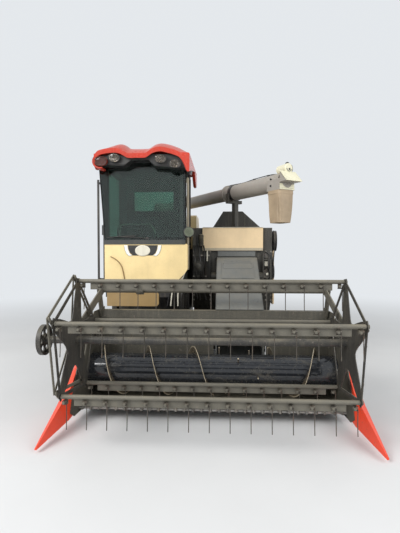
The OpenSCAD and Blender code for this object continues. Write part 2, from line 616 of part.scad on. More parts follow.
hood_t = 14;
hood_side = 30;
hood_top = thresher_z - 185;
hood_drop = 80;
hood_face = 340;
hood_foot = deck_z + 200;
module straw_hood() color([0.16, 0.16, 0.16]) {
  difference() {
    along_x(thresher_x0 + hood_side, thresher_x1 - hood_side) polygon([[thresher_y1 + seat, hood_top],
      [rear_y - 110, hood_top - hood_drop], [rear_y, hood_top - hood_face], [rear_y, hood_foot],
      [thresher_y1 + seat, hood_foot + 80]]);
    along_x(thresher_x0 + hood_side + hood_t, thresher_x1 - hood_side - hood_t) polygon([
      [thresher_y1 + hood_t, hood_top - 20], [rear_y - 120, hood_top - hood_drop - 18],
      [rear_y - hood_t, hood_top - hood_face - 6], [rear_y - hood_t, hood_foot - 20],
      [thresher_y1 + hood_t, hood_foot - 20]]);
  }
  // Pressed ribs of the two sides
  for (x = [thresher_x0 + hood_side - 6, thresher_x1 - hood_side - 1], k = [0 : 2])
    block([x, thresher_y1 + 70 + k * 120, hood_foot + 120],
      [x + 7, thresher_y1 + 100 + k * 120, hood_top - 140]);
}

// Door on the right side, hinged at its rear edge
door_x = cab_x0 - 8;
door_t = 32;
door_y0 = cab_y0 + 120;
door_y1 = cab_y1 - 50;
hinge_x = cab_x0 - 30;
hinge_y = cab_y1 - 20;
hinge_h = 90;
HINGE_ZS = [floor_z + 180, eaves_z - 260];
module cab_door() color([0.13, 0.14, 0.14]) {
  difference() {
    block([door_x - door_t, door_y0, floor_z + 30], [door_x, door_y1, eaves_z - 50]);
    block([door_x - door_t - 1, door_y0 + 55, floor_z + 230], [door_x + 1, door_y1 - 55, eaves_z - 105]);
  }
  for (z = HINGE_ZS) {
    rod_z(hinge_x, hinge_y, z, z + hinge_h, 14);
    block([hinge_x - 8, door_y1 - 10, z + 10], [hinge_x + 8, hinge_y, z + 80]);
  }
  translate([door_x - door_t - 22, door_y0 + 20, floor_z + 560]) cube([23, 30, 120]);
}
module door_glass() color([0.2, 0.35, 0.3])
  block([door_x - door_t / 2 - glass_t / 2, door_y0 + 55 + seat, floor_z + 230 + seat],
    [door_x - door_t / 2 + glass_t / 2, door_y1 - 55 - seat, eaves_z - 105 - seat]);

module threshing_cover() color([0.22, 0.22, 0.23]) {
  cover_shape(776, 1950, seat);
  for (y = [900, 1300, 1800]) rod_y(y, y + 60, cover_x1 + 6, thresher_z + 16, 12);
  for (y = [1000, 1700])
    block([cover_x0 + 120, y, thresher_z + 190], [cover_x0 + 150, y + 80, thresher_z + 230]);
}

// Unloading auger, in a frame whose x runs along the stowed tube
module auger_place() translate([column_x, column_y, 0]) rotate([0, 0, stow_turn - 90]) children();
elbow_r = 120;
cheek_y = 126;
column_z0 = deck_z + 200;
auger_foot = [150, 1640];
auger_ear = 32;
auger_eye = [560, 2184];
module auger_column() color([0.8, 0.77, 0.7]) auger_place() {
  translate([0, 0, column_z0 - 20 + seat]) cylinder(r = column_r, h = tube_z - elbow_r - 12 - column_z0 + 20);
  translate([0, 0, column_z0 - 20 + seat]) cylinder(r = column_r + 26, h = 40);
  translate([0, 0, tube_z - elbow_r - 62]) cylinder(r = cheek_y + 22, h = 50);
  for (s = [-1, 1]) {
    block([-70, s > 0 ? cheek_y : -cheek_y - 14, tube_z - elbow_r - 30],
      [70, s > 0 ? cheek_y + 14 : -cheek_y, tube_z]);
    translate([0, s > 0 ? cheek_y + 14 : -cheek_y, tube_z]) rotate([90, 0, 0]) cylinder(r = 70, h = 14);
    // Ears of the lift cylinder's foot
    block([column_r - 20, s * (auger_ear + 6) - 6, auger_foot[1] - 60],
      [auger_foot[0], s * (auger_ear + 6) + 6, auger_foot[1] + 60]);
    translate([auger_foot[0], s * (auger_ear + 6) + 6, auger_foot[1]]) rotate([90, 0, 0]) cylinder(r = 30, h = 12);
  }
}
flange_x = 2200;
spout_x = tube_len - 130;
module auger_tube() color([0.8, 0.77, 0.7]) auger_place() translate([0, 0, tube_z]) {
  rotate([90, 0, 0]) cylinder(r = elbow_r, h = 2 * cheek_y - 2 * seat, center = true);
  rotate([0, 90, 0]) {
    cylinder(r = tube_r, h = flange_x);
    translate([0, 0, flange_x - 30]) cylinder(r = sleeve_r + 18, h = 16);
    translate([0, 0, flange_x - 14]) cylinder(r = sleeve_r, h = tube_len - flange_x + 14 - 60);
    translate([0, 0, rest_len - 20]) cylinder(r = strap_r, h = 40);
    translate([0, 0, tube_len - 60]) cylinder(r = 76, h = 45);
    translate([0, 0, tube_len - 15]) cylinder(r = 28, h = 15);
  }
  block([spout_x - 110, -sleeve_r - 6, -100], [spout_x + 110, sleeve_r + 6, 20]);
  for (s = [-1, 1]) {
    block([auger_eye[0] - 30, s * 26 - 5, auger_eye[1] - tube_z], [auger_eye[0] + 30, s * 26 + 5, -60]);
    translate([auger_eye[0], s * 26 + 5, auger_eye[1] - tube_z]) rotate([90, 0, 0]) cylinder(r = 30, h = 10);
  }
}
sleeve_z0 = 1840;
sleeve_z1 = tube_z - 100 - seat;
// Tapered box: half sizes at its foot and at its top
module taper(foot, top, z0, z1) intersection() {
  along_y(-200, 200) polygon([[-foot[0], z0], [foot[0], z0], [top[0], z1], [-top[0], z1]]);
  along_x(-200, 200) polygon([[-foot[1], z0], [foot[1], z0], [top[1], z1], [-top[1], z1]]);
}
module spout_sleeve() color([0.78, 0.68, 0.53]) auger_place() translate([spout_x, 0, 0]) difference() {
  taper([100, 90], [118, 117], sleeve_z0, sleeve_z1);
  taper([95, 85], [113, 112], sleeve_z0 - 1, sleeve_z1 + 1);
}

// Hydraulic cylinders, drawn from the foot towards the eye along X of the frame
neck_len = 42;
module barrel(len, r, width) {
  translate([10, 0, 0]) rotate([0, 90, 0]) cylinder(r = min(r, width / 2) - 2, h = neck_len);
  translate([neck_len, 0, 0]) rotate([0, 90, 0]) cylinder(r = r, h = len - neck_len);
  translate([len - 26, 0, 0]) rotate([0, 90, 0]) cylinder(r = r + 4, h = 26);
  rotate([90, 0, 0]) cylinder(r = 26, h = width, center = true);
}
module cylinder_barrel(len, r, rod_r, width) difference() {
  barrel(len, r, width);
  translate([60, 0, 0]) rotate([0, 90, 0]) cylinder(r = rod_r + seat, h = len);
}
module cylinder_rod(start, end, rod_r, eye_r, width) {
  translate([start, 0, 0]) rotate([0, 90, 0]) cylinder(r = rod_r, h = end - start - eye_r + 6);
  translate([end, 0, 0]) rotate([90, 0, 0]) cylinder(r = eye_r, h = width, center = true);
}
auger_reach = norm(auger_eye - auger_foot);
auger_lean = atan2(auger_eye[1] - auger_foot[1], auger_eye[0] - auger_foot[0]);
module auger_jack() auger_place() translate([auger_foot[0], 0, auger_foot[1]])
  rotate([0, -auger_lean, 0]) children();
module auger_barrel() color([0.15, 0.15, 0.15]) auger_jack() cylinder_barrel(480, 32, 16, 2 * (auger_ear - seat));
module auger_rod() color("silver") auger_jack() cylinder_rod(150, auger_reach, 16, 18, 36);

// Header
wall_x = head_half;
sheet_t = 8;
back_y = screw_y + flight_r + 12;
floor_r = flight_r + 10;
beam_a = 820;
feed_x0 = 75;
feed_x1 = 575;
feed_front = back_y + sheet_t;
// Trough under the auger: its inner and outer outline, from the back wall to the knife
function trough(d) = concat(
  [[back_y + d, 860], [back_y + d, screw_z]],
  [for (a = [-15 : -15 : -105]) [screw_y + (back_y - screw_y + d) * cos(a), screw_z + (floor_r + d) * sin(a)]],
  [[knife_y + 40, knife_z - d]]);
knife_y = -1790;
knife_z = 116;
function reversed(list) = [for (i = [len(list) - 1 : -1 : 0]) list[i]];

shoe_x = 700;
// Places of the back sheet's ribs from the header's middle
RIB_XS = [-1060, -800, -540, -280, -60, 640, 860, 1060];
case_x0 = head_x - wall_x - sheet_t - 70;
CASE_FOOT = [knife_y + 200, knife_z + 90];

// Side-view outline of a header side wall
WALL_OUTLINE = [[back_y + 60, 82], [back_y + 60, 905], [-1330, 905], [-1560, 700], [-1760, 560],
  [-1900, 330], [-1990, 120], [-1900, 60], [-1700, 50], [-1300, 50]];

module header_frame() color([0.3, 0.29, 0.27]) {
  difference() {
    along_x(head_x - wall_x, head_x + wall_x) polygon(concat(trough(0), reversed(trough(sheet_t))));
    block([feed_x0 - 20, back_y - 30, 130], [feed_x1 + 20, back_y + 60, 580]);
  }
  for (s = [-1, 1]) difference() {
    along_x(head_x + min(s * wall_x, s * (wall_x + sheet_t)), head_x + max(s * wall_x, s * (wall_x + sheet_t)))
      polygon(WALL_OUTLINE);
    rod_x(head_x - wall_x - 50, head_x + wall_x + 50, screw_y, screw_z, 30 + seat);
  }
  block([head_x - wall_x - sheet_t, back_y - 2, beam_a], [head_x + wall_x + sheet_t, back_y + 78, beam_a + 80]);
  // Brackets that carry the reel arms' cross tube
  for (s = [-1, 1]) difference() {
    union() {
      link_x(head_x + s * bracket_x - 7, 14, [arm_y, arm_z], [back_y + 30, beam_a + 50], 110);
      block([head_x + s * bracket_x - 20, back_y + 2, beam_a + 79],
        [head_x + s * bracket_x + 20, back_y + 70, beam_a + 110]);
    }
    rod_x(head_x + s * bracket_x - 20, head_x + s * bracket_x + 20, arm_y, arm_z, 32 + seat);
  }
  // Feet of the reel's lift cylinders
  foot_x = reel_jack_x + 14;
  for (s = [-1, 1])
    rod_x(head_x + min(s * foot_x, s * wall_x), head_x + max(s * foot_x, s * wall_x), reel_foot[0], reel_foot[1], 24);
  // Shoes under the trough
  for (s = [-1, 1])
    block([head_x + s * shoe_x - 60, knife_y + 90, 50], [head_x + s * shoe_x + 60, screw_y + 170, 95]);
  // Ribs on the back sheet
  for (x = RIB_XS) block([head_x + x - 5, back_y + sheet_t - 1, screw_z], [head_x + x + 5, back_y + 60, beam_a + 1]);
  // Case over the drive of the knife and the auger, outside the right wall
  difference() {
    union() {
      link_x(case_x0, head_x - wall_x - sheet_t + 1 - case_x0, [screw_y, screw_z], CASE_FOOT, 150);
      link_x(case_x0 - 8, 9, [screw_y, screw_z], CASE_FOOT, 110);
    }
    rod_x(head_x - wall_x - 62, head_x - wall_x, screw_y, screw_z, 30 + seat);
  }
}

module feeder_house() color([0.33, 0.34, 0.37]) {
  difference() {
    along_x(feed_x0, feed_x1) polygon(concat([[feed_front + seat, 120], [feed_front + seat, 905]],
      [for (a = [121 : -15 : -119]) [feed_y + feed_r * cos(a), feed_z + feed_r * sin(a)]]));
    along_x(feed_x0 + 12, feed_x1 - 12) polygon([[feed_front - 5, 140], [feed_front - 5, 570],
      [-700, 960], [-500, 1080], [-480, 880], [-560, 790], [-900, 420]]);
    // Notch for the header's rear beam
    block([feed_x0 - 1, back_y - 3, beam_a - seat], [feed_x1 + 1, back_y + 78 + seat, beam_a + 90]);
  }
  rod_x(mouth_x0 - 45, mouth_x1 + 45, feed_y, feed_z, 30);
  // Hood over the feeder house, with its raised field
  hood_sheet(feed_x0 + 10, feed_x1 - 10, 0, 1000, 10);
  hood_sheet(feed_x0 + 60, feed_x1 - 60, 560, 900, 16);
  // Ears for the rod of the lift cylinder
  for (s = [-1, 1]) translate([lift_x + s * 26 - 5, 0, 0])
    link_x(0, 10, lift_eye, lift_eye + [5, 85], 56);
}
hood_slope = atan2(feed_z + feed_r * sin(121) - 905, feed_y + feed_r * cos(121) - feed_front);
module hood_sheet(x0, x1, s0, s1, t) translate([x0, feed_front + 2, 905]) rotate([hood_slope, 0, 0])
  translate([0, s0, -3]) cube([x1 - x0, s1 - s0, t + 3]);

tip_y = -2450;
tip_x = side_x - head_x - 8.5;
module divider(s) {
  x0 = wall_x + sheet_t + seat + 0.5;
  // Points: x from the header's middle, y, z
  pts = [[x0, -1700, 90], [x0, -1700, 540], [x0 + 42, -1720, 480], [x0 + 46, -1740, 110],
    [x0, -2000, 70], [x0, -1960, 330], [x0 + 75, -2000, 250], [x0 + 80, -2020, 80],
    [tip_x - 6, tip_y + 0.5, 24], [tip_x - 6, tip_y + 0.5, 44], [tip_x + 8, tip_y + 2, 34], [tip_x + 8, tip_y + 2, 24]];
  hull() for (i = [0 : 7]) point_at(s, pts[i]);
  hull() for (i = [4 : 11]) point_at(s, pts[i]);
}
module point_at(s, p) translate([head_x + s * p[0], p[1], p[2]]) cube(1, center = true);
module crop_dividers() color([0.9, 0.25, 0.1]) for (s = [-1, 1]) divider(s);

guard_count = 31;
module cutter_bar() color([0.25, 0.25, 0.25]) {
  block([head_x - wall_x + 2, knife_y - 20, knife_z - 22], [head_x + wall_x - 2, knife_y + 40 - seat, knife_z - 7]);
  for (i = [0 : guard_count - 1])
    translate([head_x + (i - (guard_count - 1) / 2) * 76.2, 0, 0]) along_x(-7, 7)
      polygon([[knife_y - 66, knife_z - 14], [knife_y - 18, knife_z - 26], [knife_y + 6, knife_z - 22],
        [knife_y + 6, knife_z - 4], [knife_y - 20, knife_z - 2]]);
  linear_blade();
}
module linear_blade() translate([0, 0, knife_z - 12.5]) linear_extrude(4) polygon(concat(
  [[head_x + wall_x - 8, knife_y + 20], [head_x - wall_x + 8, knife_y + 20]],
  [for (i = [0 : 2 * guard_count - 4]) [head_x + (i - guard_count + 2) * 38.1, knife_y - (i % 2 == 0 ? 2 : 44)]]));

flight_t = 5;
flight_steps = 40;
// One flight: hand gives its sense, x0 and x1 are its ends
module flight(x0, x1, hand, start) {
  n = ceil((x1 - x0) / flight_pitch * flight_steps);
  pts = [for (i = [0 : n]) let (x = x0 + (x1 - x0) * i / n, a = start + hand * 360 * (x - x0) / flight_pitch)
    each [for (c = [[drum_r + 0.9, -flight_t / 2], [flight_r, -flight_t / 2], [flight_r, flight_t / 2],
      [drum_r + 0.9, flight_t / 2]]) [x + c[1], c[0] * cos(a), c[0] * sin(a)]]];
  turn_faces = [for (i = [0 : n - 1], k = [0 : 3]) let (p = 4 * i + k, q = 4 * i + (k + 1) % 4)
    each [[p, p + 4, q + 4], [p, q + 4, q]]];
  faces = concat([[0, 1, 2, 3]], turn_faces, [[4 * n + 3, 4 * n + 2, 4 * n + 1, 4 * n]]);
  translate([0, screw_y, screw_z]) polyhedron(pts, hand < 0 ? faces : [for (f = faces) reversed(f)]);
}
module header_auger() color([0.08, 0.08, 0.08]) {
  rod_x(head_x - wall_x + running, head_x + wall_x - running, screw_y, screw_z, drum_r);
  rod_x(head_x - wall_x - 60, head_x + wall_x + 60, screw_y, screw_z, 30);
  flight(head_x - wall_x + 20, feed_x0 - 10, 1, 0);
  flight(feed_x1 + 10, head_x + wall_x - 20, -1, 90);
  // Feeding fingers opposite the feeder house
  for (i = [0 : 7]) translate([feed_x0 + 40 + i * 60, screw_y, screw_z]) rotate([i * 135, 0, 0])
    cylinder(r = 7, h = flight_r - 3);
}

// Header lift cylinder, from the chassis arm to the feeder house
lift_eye = [-960, 250];
lift_reach = norm(lift_eye - lift_foot);
lift_lean = atan2(lift_eye[1] - lift_foot[1], lift_foot[0] - lift_eye[0]);
module side_jack(x, foot, lean) translate([x, foot[0], foot[1]]) rotate([0, 0, -90]) rotate([0, -lean, 0]) children();
module header_barrel() color([0.15, 0.15, 0.15]) side_jack(lift_x, lift_foot, lift_lean)
  cylinder_barrel(470, 34, 18, 2 * (lift_ear - seat));
module header_rod() color("silver") side_jack(lift_x, lift_foot, lift_lean)
  cylinder_rod(100, lift_reach, 18, 22, 38);

// Reel arms
arm_x = reel_half + 41;
arm_t = 12;
bracket_x = arm_x + 44;
cross_half = arm_x + 59;
offset_ring = [-45, 40];
reel_foot = [-1380, 660];
reel_eye = [-1600, 935];
reel_jack_x = arm_x + 32;
module reel_arms() color([0.35, 0.34, 0.31]) {
  rod_x(head_x - cross_half, head_x + cross_half, arm_y, arm_z, 32);
  for (s = [-1, 1]) {
    x0 = head_x + min(s * arm_x, s * (arm_x + arm_t));
    difference() {
      union() {
        link_x(x0, arm_t, [arm_y, arm_z], [reel_y, reel_z], 84);
        rod_x(head_x + min(s * arm_x, s * (arm_x + 30)), head_x + max(s * arm_x, s * (arm_x + 30)), reel_y, reel_z, 54);
      }
      rod_x(x0 - 60, x0 + 60, reel_y, reel_z, 30 + seat);
    }
    // Pin end for the lift cylinder's rod
    rod_x(head_x + min(s * (arm_x + 2), s * (arm_x + 19)), head_x + max(s * (arm_x + 2), s * (arm_x + 19)),
      reel_eye[0], reel_eye[1], 18);
    block([x0, reel_eye[0] - 25, reel_eye[1] - 10], [x0 + arm_t, reel_eye[0] + 25, reel_eye[1] + 60]);
  }
  // Fixed disc on which the offset ring runs, at the right end
  difference() {
    rod_x(head_x - arm_x - 1, head_x - reel_half - 23, ring_place[0], ring_place[1], ring_hub - 0.5);
    rod_x(head_x - arm_x - 20, head_x - reel_half - 15, reel_y, reel_z, 31 + seat);
  }
  // Middle bracket on the cross tube
  rod_x(-735, -665, arm_y, arm_z + 10, 60);
}

function bar_angle(i) = bar_turn + i * 360 / bar_count;
function bar_place(i) = [reel_y - reel_r * cos(bar_angle(i)), reel_z + reel_r * sin(bar_angle(i))];
joint_r = 26;

// Side-view point at angle a and distance r from the reel's shaft
function reel_at(a, r) = [reel_y - r * cos(a), reel_z + r * sin(a)];
// Columns: angle from an arm's middle and distance as a share of the reel's radius
ARM_EDGE = [[4, 1.05], [5, 0.98], [9, 0.82], [14, 0.66], [20, 0.53], [28, 0.44], [36, 0.41]];
function star_points() = [for (i = [0 : bar_count - 1]) let (a = bar_angle(i)) each concat(
  [for (k = [len(ARM_EDGE) - 1 : -1 : 0]) reel_at(a - ARM_EDGE[k][0] * 5 / bar_count, reel_r * ARM_EDGE[k][1])],
  [for (k = [0 : len(ARM_EDGE) - 2]) reel_at(a + ARM_EDGE[k][0] * 5 / bar_count, reel_r * ARM_EDGE[k][1])])];
// Flat bars from tip to tip, as a ring round centre shift
function ring_points(d, shift = [0, 0]) = [for (i = [0 : bar_count - 1])
  reel_at(bar_angle(i), reel_r + d / cos(180 / bar_count)) + shift];
module pin_holes(r, shift = [0, 0])
  for (i = [0 : bar_count - 1]) translate(bar_place(i) + shift) circle(r = r);

// Five-armed plate with hollow edges and the flat bars that join its tips
module star(x0, t) along_x(x0, x0 + t) difference() {
  union() {
    polygon(star_points());
    difference() {
      polygon(ring_points(16));
      polygon(ring_points(-14));
    }
  }
  pin_holes(9 + seat);
}
pulley_x1 = -side_x + 36;
module reel_rotor() color([0.3, 0.3, 0.29]) {
  for (x0 = [head_x - reel_half - 6, head_x + reel_half]) star(x0, 6);
  rod_x(-side_x + 8, head_x + arm_x + 38, reel_y, reel_z, 30);
  // Spoked drive pulley beyond the right arm
  difference() {
    rod_x(-side_x, pulley_x1, reel_y, reel_z, 125);
    for (x = [-side_x - 1, pulley_x1 - 13]) rod_x(x, x + 14, reel_y, reel_z, 106);
    for (i = [0 : 5]) rod_x(-side_x - 10, pulley_x1 + 10,
      reel_y + 74 * cos(i * 60), reel_z + 74 * sin(i * 60), 24);
  }
  rod_x(-side_x + 2, pulley_x1 - 2, reel_y, reel_z, 44);
}

ring_place = [reel_y + offset_ring[0], reel_z + offset_ring[1]];
ring_hub = 105;
ring_x = head_x - reel_half - 30;
ring_t = 6;
module eccentric_ring() color([0.35, 0.36, 0.37]) difference() {
  union() {
    along_x(ring_x, ring_x + ring_t) difference() {
      polygon(ring_points(14, offset_ring));
      polygon(ring_points(-12, offset_ring));
    }
    for (i = [0 : bar_count - 1]) along_x(ring_x + 0.5, ring_x + ring_t - 0.5)
      translate(ring_place) rotate(180 - bar_angle(i))
        translate([ring_hub + 8, -13]) square([reel_r - ring_hub - 4, 26]);
    rod_x(ring_x, ring_x + ring_t, ring_place[0], ring_place[1], ring_hub + 22);
  }
  rod_x(ring_x - 1, ring_x + ring_t + 1, ring_place[0], ring_place[1], ring_hub);
  along_x(ring_x - 1, ring_x + ring_t + 1) pin_holes(8 + seat, offset_ring);
}

bar_r = 17;
bar_half = reel_half - 7;
tine_bend = -14;
function tine_x(k) = (k - (tine_count - 1) / 2) * 2 * (bar_half - 34) / (tine_count - 1);
// Columns: place along the bar and radius there: pins, tube and the coils of the tines
function bar_profile() = concat([[-reel_half - 15, 0], [-reel_half - 15, 9], [-bar_half, 9], [-bar_half, bar_r]],
  [for (k = [0 : tine_count - 1]) each [[tine_x(k) - 13, bar_r], [tine_x(k) - 13, bar_r + 7],
    [tine_x(k) + 13, bar_r + 7], [tine_x(k) + 13, bar_r]]],
  [[bar_half, bar_r], [bar_half, 9], [reel_half + 6 + seat, 9], [reel_half + 6 + seat, 16],
    [reel_half + 18, 16], [reel_half + 18, 0]]);
module tine_bar(i) color([0.5, 0.48, 0.43]) translate([head_x, bar_place(i)[0], bar_place(i)[1]]) {
  rotate([0, 90, 0]) rotate_extrude() polygon([for (p = bar_profile()) [p[1], p[0]]]);
  link_x(-reel_half - 18, 6, [0, 0], offset_ring, 30);
  rod_x(-reel_half - 33, -reel_half - 17, offset_ring[0], offset_ring[1], 8);
  // Flat that stiffens the bar, behind the tines
  block([-bar_half + 90, 6, -70], [bar_half - 90, 11, -8]);
  for (k = [0 : tine_count - 1]) along_x(tine_x(k) - 4, tine_x(k) + 4) polygon([[-4, -12], [4, -12],
    [4, -tine_len + 60], [4 + tine_bend, -tine_len], [tine_bend - 4, -tine_len], [-4, -tine_len + 60]]);
}
module tine_bar_1() tine_bar(0);
module tine_bar_2() tine_bar(1);
module tine_bar_3() tine_bar(2);
module tine_bar_4() tine_bar(3);
module tine_bar_5() tine_bar(4);

reel_reach = norm(reel_eye - reel_foot);
reel_lean = atan2(reel_eye[1] - reel_foot[1], reel_foot[0] - reel_eye[0]);
module reel_barrels() color([0.15, 0.15, 0.15]) for (s = [-1, 1])
  side_jack(head_x + s * reel_jack_x, reel_foot, reel_lean) cylinder_barrel(220, 15, 9, 27);
module reel_rods() color("silver") for (s = [-1, 1])
  side_jack(head_x + s * reel_jack_x, reel_foot, reel_lean) cylinder_rod(62, reel_reach, 9, 16, 20);

chassis_frame();
left_track();
right_track();
track_wheels();
transmission();
engine();
engine_housing();
cab_floor();
cab_shell();
cab_glass();
cab_roof();
roof_lamps();
seat();
controls();
handrails();
thresher_body();
cover_panels();
belt_drive();
grain_tank();
straw_hood();
cab_door();
door_glass();
threshing_cover();
auger_column();
auger_tube();
spout_sleeve();
auger_barrel();
auger_rod();
feeder_house();
header_frame();
crop_dividers();
cutter_bar();
header_auger();
header_barrel();
header_rod();
reel_arms();
reel_rotor();
eccentric_ring();
tine_bar_1();
tine_bar_2();
tine_bar_3();
tine_bar_4();
tine_bar_5();
reel_barrels();
reel_rods();
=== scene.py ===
"""Looks of a full-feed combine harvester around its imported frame."""

import math

import bmesh
import bpy
from mathutils import Matrix, Vector


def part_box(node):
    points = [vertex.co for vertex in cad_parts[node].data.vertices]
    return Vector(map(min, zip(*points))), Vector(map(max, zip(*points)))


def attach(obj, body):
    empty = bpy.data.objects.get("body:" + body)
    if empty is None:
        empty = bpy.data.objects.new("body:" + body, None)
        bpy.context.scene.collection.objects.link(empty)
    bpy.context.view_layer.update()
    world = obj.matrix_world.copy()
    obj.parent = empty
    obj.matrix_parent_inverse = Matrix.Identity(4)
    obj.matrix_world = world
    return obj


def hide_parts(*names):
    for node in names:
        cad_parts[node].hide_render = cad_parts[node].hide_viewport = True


bl_info = {
    "name": "Combine harvester looks",
    "version": (1, 0, 0),
    "blender": (4, 5, 0),
    "location": "3D View > Sidebar > Harvester",
    "description": "Finishes and trim for a combine harvester on rubber tracks",
    "category": "Object",
}

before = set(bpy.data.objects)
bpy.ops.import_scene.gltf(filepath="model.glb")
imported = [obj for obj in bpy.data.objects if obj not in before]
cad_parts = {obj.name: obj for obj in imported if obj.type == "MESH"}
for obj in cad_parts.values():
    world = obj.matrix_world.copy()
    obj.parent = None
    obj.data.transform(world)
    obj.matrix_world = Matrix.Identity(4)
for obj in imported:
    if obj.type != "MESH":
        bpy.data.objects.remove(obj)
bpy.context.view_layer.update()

# Machine's own places, in metres
CAB_X0, CAB_X1, CAB_Y0, CAB_Y1 = -1.26, -0.31, -0.63, 0.42
CAB_XC = (CAB_X0 + CAB_X1) / 2
FLOOR_Z, SILL_Z, EAVES_Z = 1.16, 1.64, 2.60
CAB_RAKE = 0.06
THRESHER_Y0, THRESHER_Z = -0.13, 1.825
COLUMN = Vector((-0.95, 2.01, 0.0))
STOW_TURN = math.radians(32.8)
TUBE_Z, SLEEVE_R, REST_LEN, TUBE_LEN, FLANGE = 2.30, 0.100, 2.33, 3.36, 2.20
HEAD_X = 0.04
SCREW_Y, SCREW_Z = -1.42, 0.345
REEL_Y, REEL_Z, REEL_R, REEL_HALF = -2.122, 0.782, 0.483, 1.085
BAR_TURN, BAR_COUNT = 25.5, 5
# Where the drum's skin and its flights' rims start and end, from the shaft
DRUM_SKIN, FLIGHT_RIM = (0.163, 0.172), (0.222, 0.231)
# Foot and top of the feeder hood's slope, along and up
HOOD_FOOT, HOOD_TOP = (-1.165, 0.905), (-0.3288, 1.4143)
# Camera's place, its turn to the right and down in degrees, and its lens in millimetres
CAMERA_PLACE, CAMERA_TURN, CAMERA_DOWN, CAMERA_LENS = (0.148, -5.335, 1.477), 3.22, 1.64, 27.2


class HarvesterSizes(bpy.types.PropertyGroup):
    """Sizes of the added trim"""
    tine_pitch: bpy.props.FloatProperty(name="Tine pitch", description="Distance between two tines on a bar",
                                        default=0.1434, min=0.05, unit="LENGTH")
    wire: bpy.props.FloatProperty(name="Wire", description="Radius of the tines' spring wire",
                                  default=0.0034, min=0.001, unit="LENGTH")
    bolt: bpy.props.FloatProperty(name="Bolt", description="Radius of a bolt's head",
                                  default=0.010, min=0.002, unit="LENGTH")
    hose: bpy.props.FloatProperty(name="Hose", description="Radius of a hydraulic hose",
                                  default=0.011, min=0.003, unit="LENGTH")


class HarvesterColours(bpy.types.PropertyGroup):
    """Colours of the finishes"""
    cream: bpy.props.FloatVectorProperty(name="Cream", description="Body panels", subtype="COLOR",
                                         size=3, min=0, max=1, default=(0.88, 0.68, 0.34))
    # Painted shade: the plate under the cab takes a darker, more orange cream that stands in for the shade below the
    # cab floor
    tan: bpy.props.FloatVectorProperty(name="Cream in painted shade", description="Lower panel under the cab", subtype="COLOR",
                                       size=3, min=0, max=1, default=(0.33, 0.215, 0.085))
    red: bpy.props.FloatVectorProperty(name="Red", description="Roof", subtype="COLOR",
                                       size=3, min=0, max=1, default=(0.54, 0.040, 0.020))
    orange: bpy.props.FloatVectorProperty(name="Orange", description="Crop dividers", subtype="COLOR",
                                          size=3, min=0, max=1, default=(0.88, 0.058, 0.014))
    grey: bpy.props.FloatVectorProperty(name="Grey", description="Threshing unit and hood", subtype="COLOR",
                                        size=3, min=0, max=1, default=(0.105, 0.112, 0.118))
    tube: bpy.props.FloatVectorProperty(name="Tube", description="Unloading auger", subtype="COLOR",
                                        size=3, min=0, max=1, default=(0.33, 0.305, 0.27))
    black: bpy.props.FloatVectorProperty(name="Black", description="Frames and drums", subtype="COLOR",
                                         size=3, min=0, max=1, default=(0.022, 0.022, 0.023))
    dust: bpy.props.FloatVectorProperty(name="Dust", description="Field dust", subtype="COLOR",
                                        size=3, min=0, max=1, default=(0.33, 0.27, 0.18))


class Paintbox:
    """Builds one material's nodes"""

    def __init__(self, name):
        self.material = bpy.data.materials.new(name)
        self.material.use_nodes = True
        self.nodes = self.material.node_tree.nodes
        self.links = self.material.node_tree.links
        self.shader = self.nodes["Principled BSDF"]
        self.coords = self.nodes.new("ShaderNodeTexCoord")

    def join(self, source, socket):
        """Links a socket, or sets a plain value"""
        if isinstance(source, bpy.types.NodeSocket):
            self.links.new(source, socket)
        elif isinstance(source, (tuple, list)) and len(source) == 3 and len(socket.default_value) == 4:
            socket.default_value = (*source, 1)
        else:
            socket.default_value = source

    def node(self, kind, *values, out=0, **settings):
        """Adds a node, fills its first inputs in turn, and gives one output"""
        made = self.nodes.new(kind)
        for key, setting in settings.items():
            setattr(made, key, setting)
        for value, socket in zip(values, made.inputs):
            if value is not None:
                self.join(value, socket)
        return made.outputs[out]

    def place(self, stretch=(1, 1, 1), turn=(0, 0, 0)):
        mapping = self.nodes.new("ShaderNodeMapping")
        self.links.new(self.coords.outputs["Object"], mapping.inputs["Vector"])
        mapping.inputs["Scale"].default_value = stretch
        mapping.inputs["Rotation"].default_value = turn
        return mapping.outputs[0]

    def noise(self, scale, detail=4.0, rough=0.55, at=None, warp=0.0):
        made = self.nodes.new("ShaderNodeTexNoise")
        self.join(at or self.coords.outputs["Object"], made.inputs["Vector"])
        made.inputs["Scale"].default_value = scale
        made.inputs["Detail"].default_value = detail
        made.inputs["Roughness"].default_value = rough
        made.inputs["Distortion"].default_value = warp
        return made.outputs[0]

    def math(self, kind, a, b=0.0, clamp=False):
        return self.node("ShaderNodeMath", a, b, operation=kind, use_clamp=clamp)

    def span(self, value, low, high, to_low=0.0, to_high=1.0):
        """Value from low..high brought to to_low..to_high and held there"""
        return self.node("ShaderNodeMapRange", value, low, high, to_low, to_high)

    def mix(self, factor, a, b):
        made = self.nodes.new("ShaderNodeMix")
        made.data_type = "RGBA"
        self.join(factor, made.inputs[0])
        self.join(a, made.inputs[6])
        self.join(b, made.inputs[7])
        return made.outputs[2]

    def axis(self, name, source="Object"):
        made = self.nodes.new("ShaderNodeSeparateXYZ")
        self.links.new(self.coords.outputs[source], made.inputs[0])
        return made.outputs[name]

    def bump(self, height, depth, strength=1.0):
        made = self.nodes.new("ShaderNodeBump")
        made.inputs["Strength"].default_value = strength
        made.inputs["Distance"].default_value = depth
        self.join(height, made.inputs["Height"])
        return made.outputs[0]

    def finish(self, **sockets):
        """Fills the shader's sockets, written with underscores for spaces"""
        for key, value in sockets.items():
            self.join(value, self.shader.inputs[key.replace("_", " ")])
        return self.material


def shade(colour, factor):
    return tuple(min(1.0, c * factor) for c in colour)


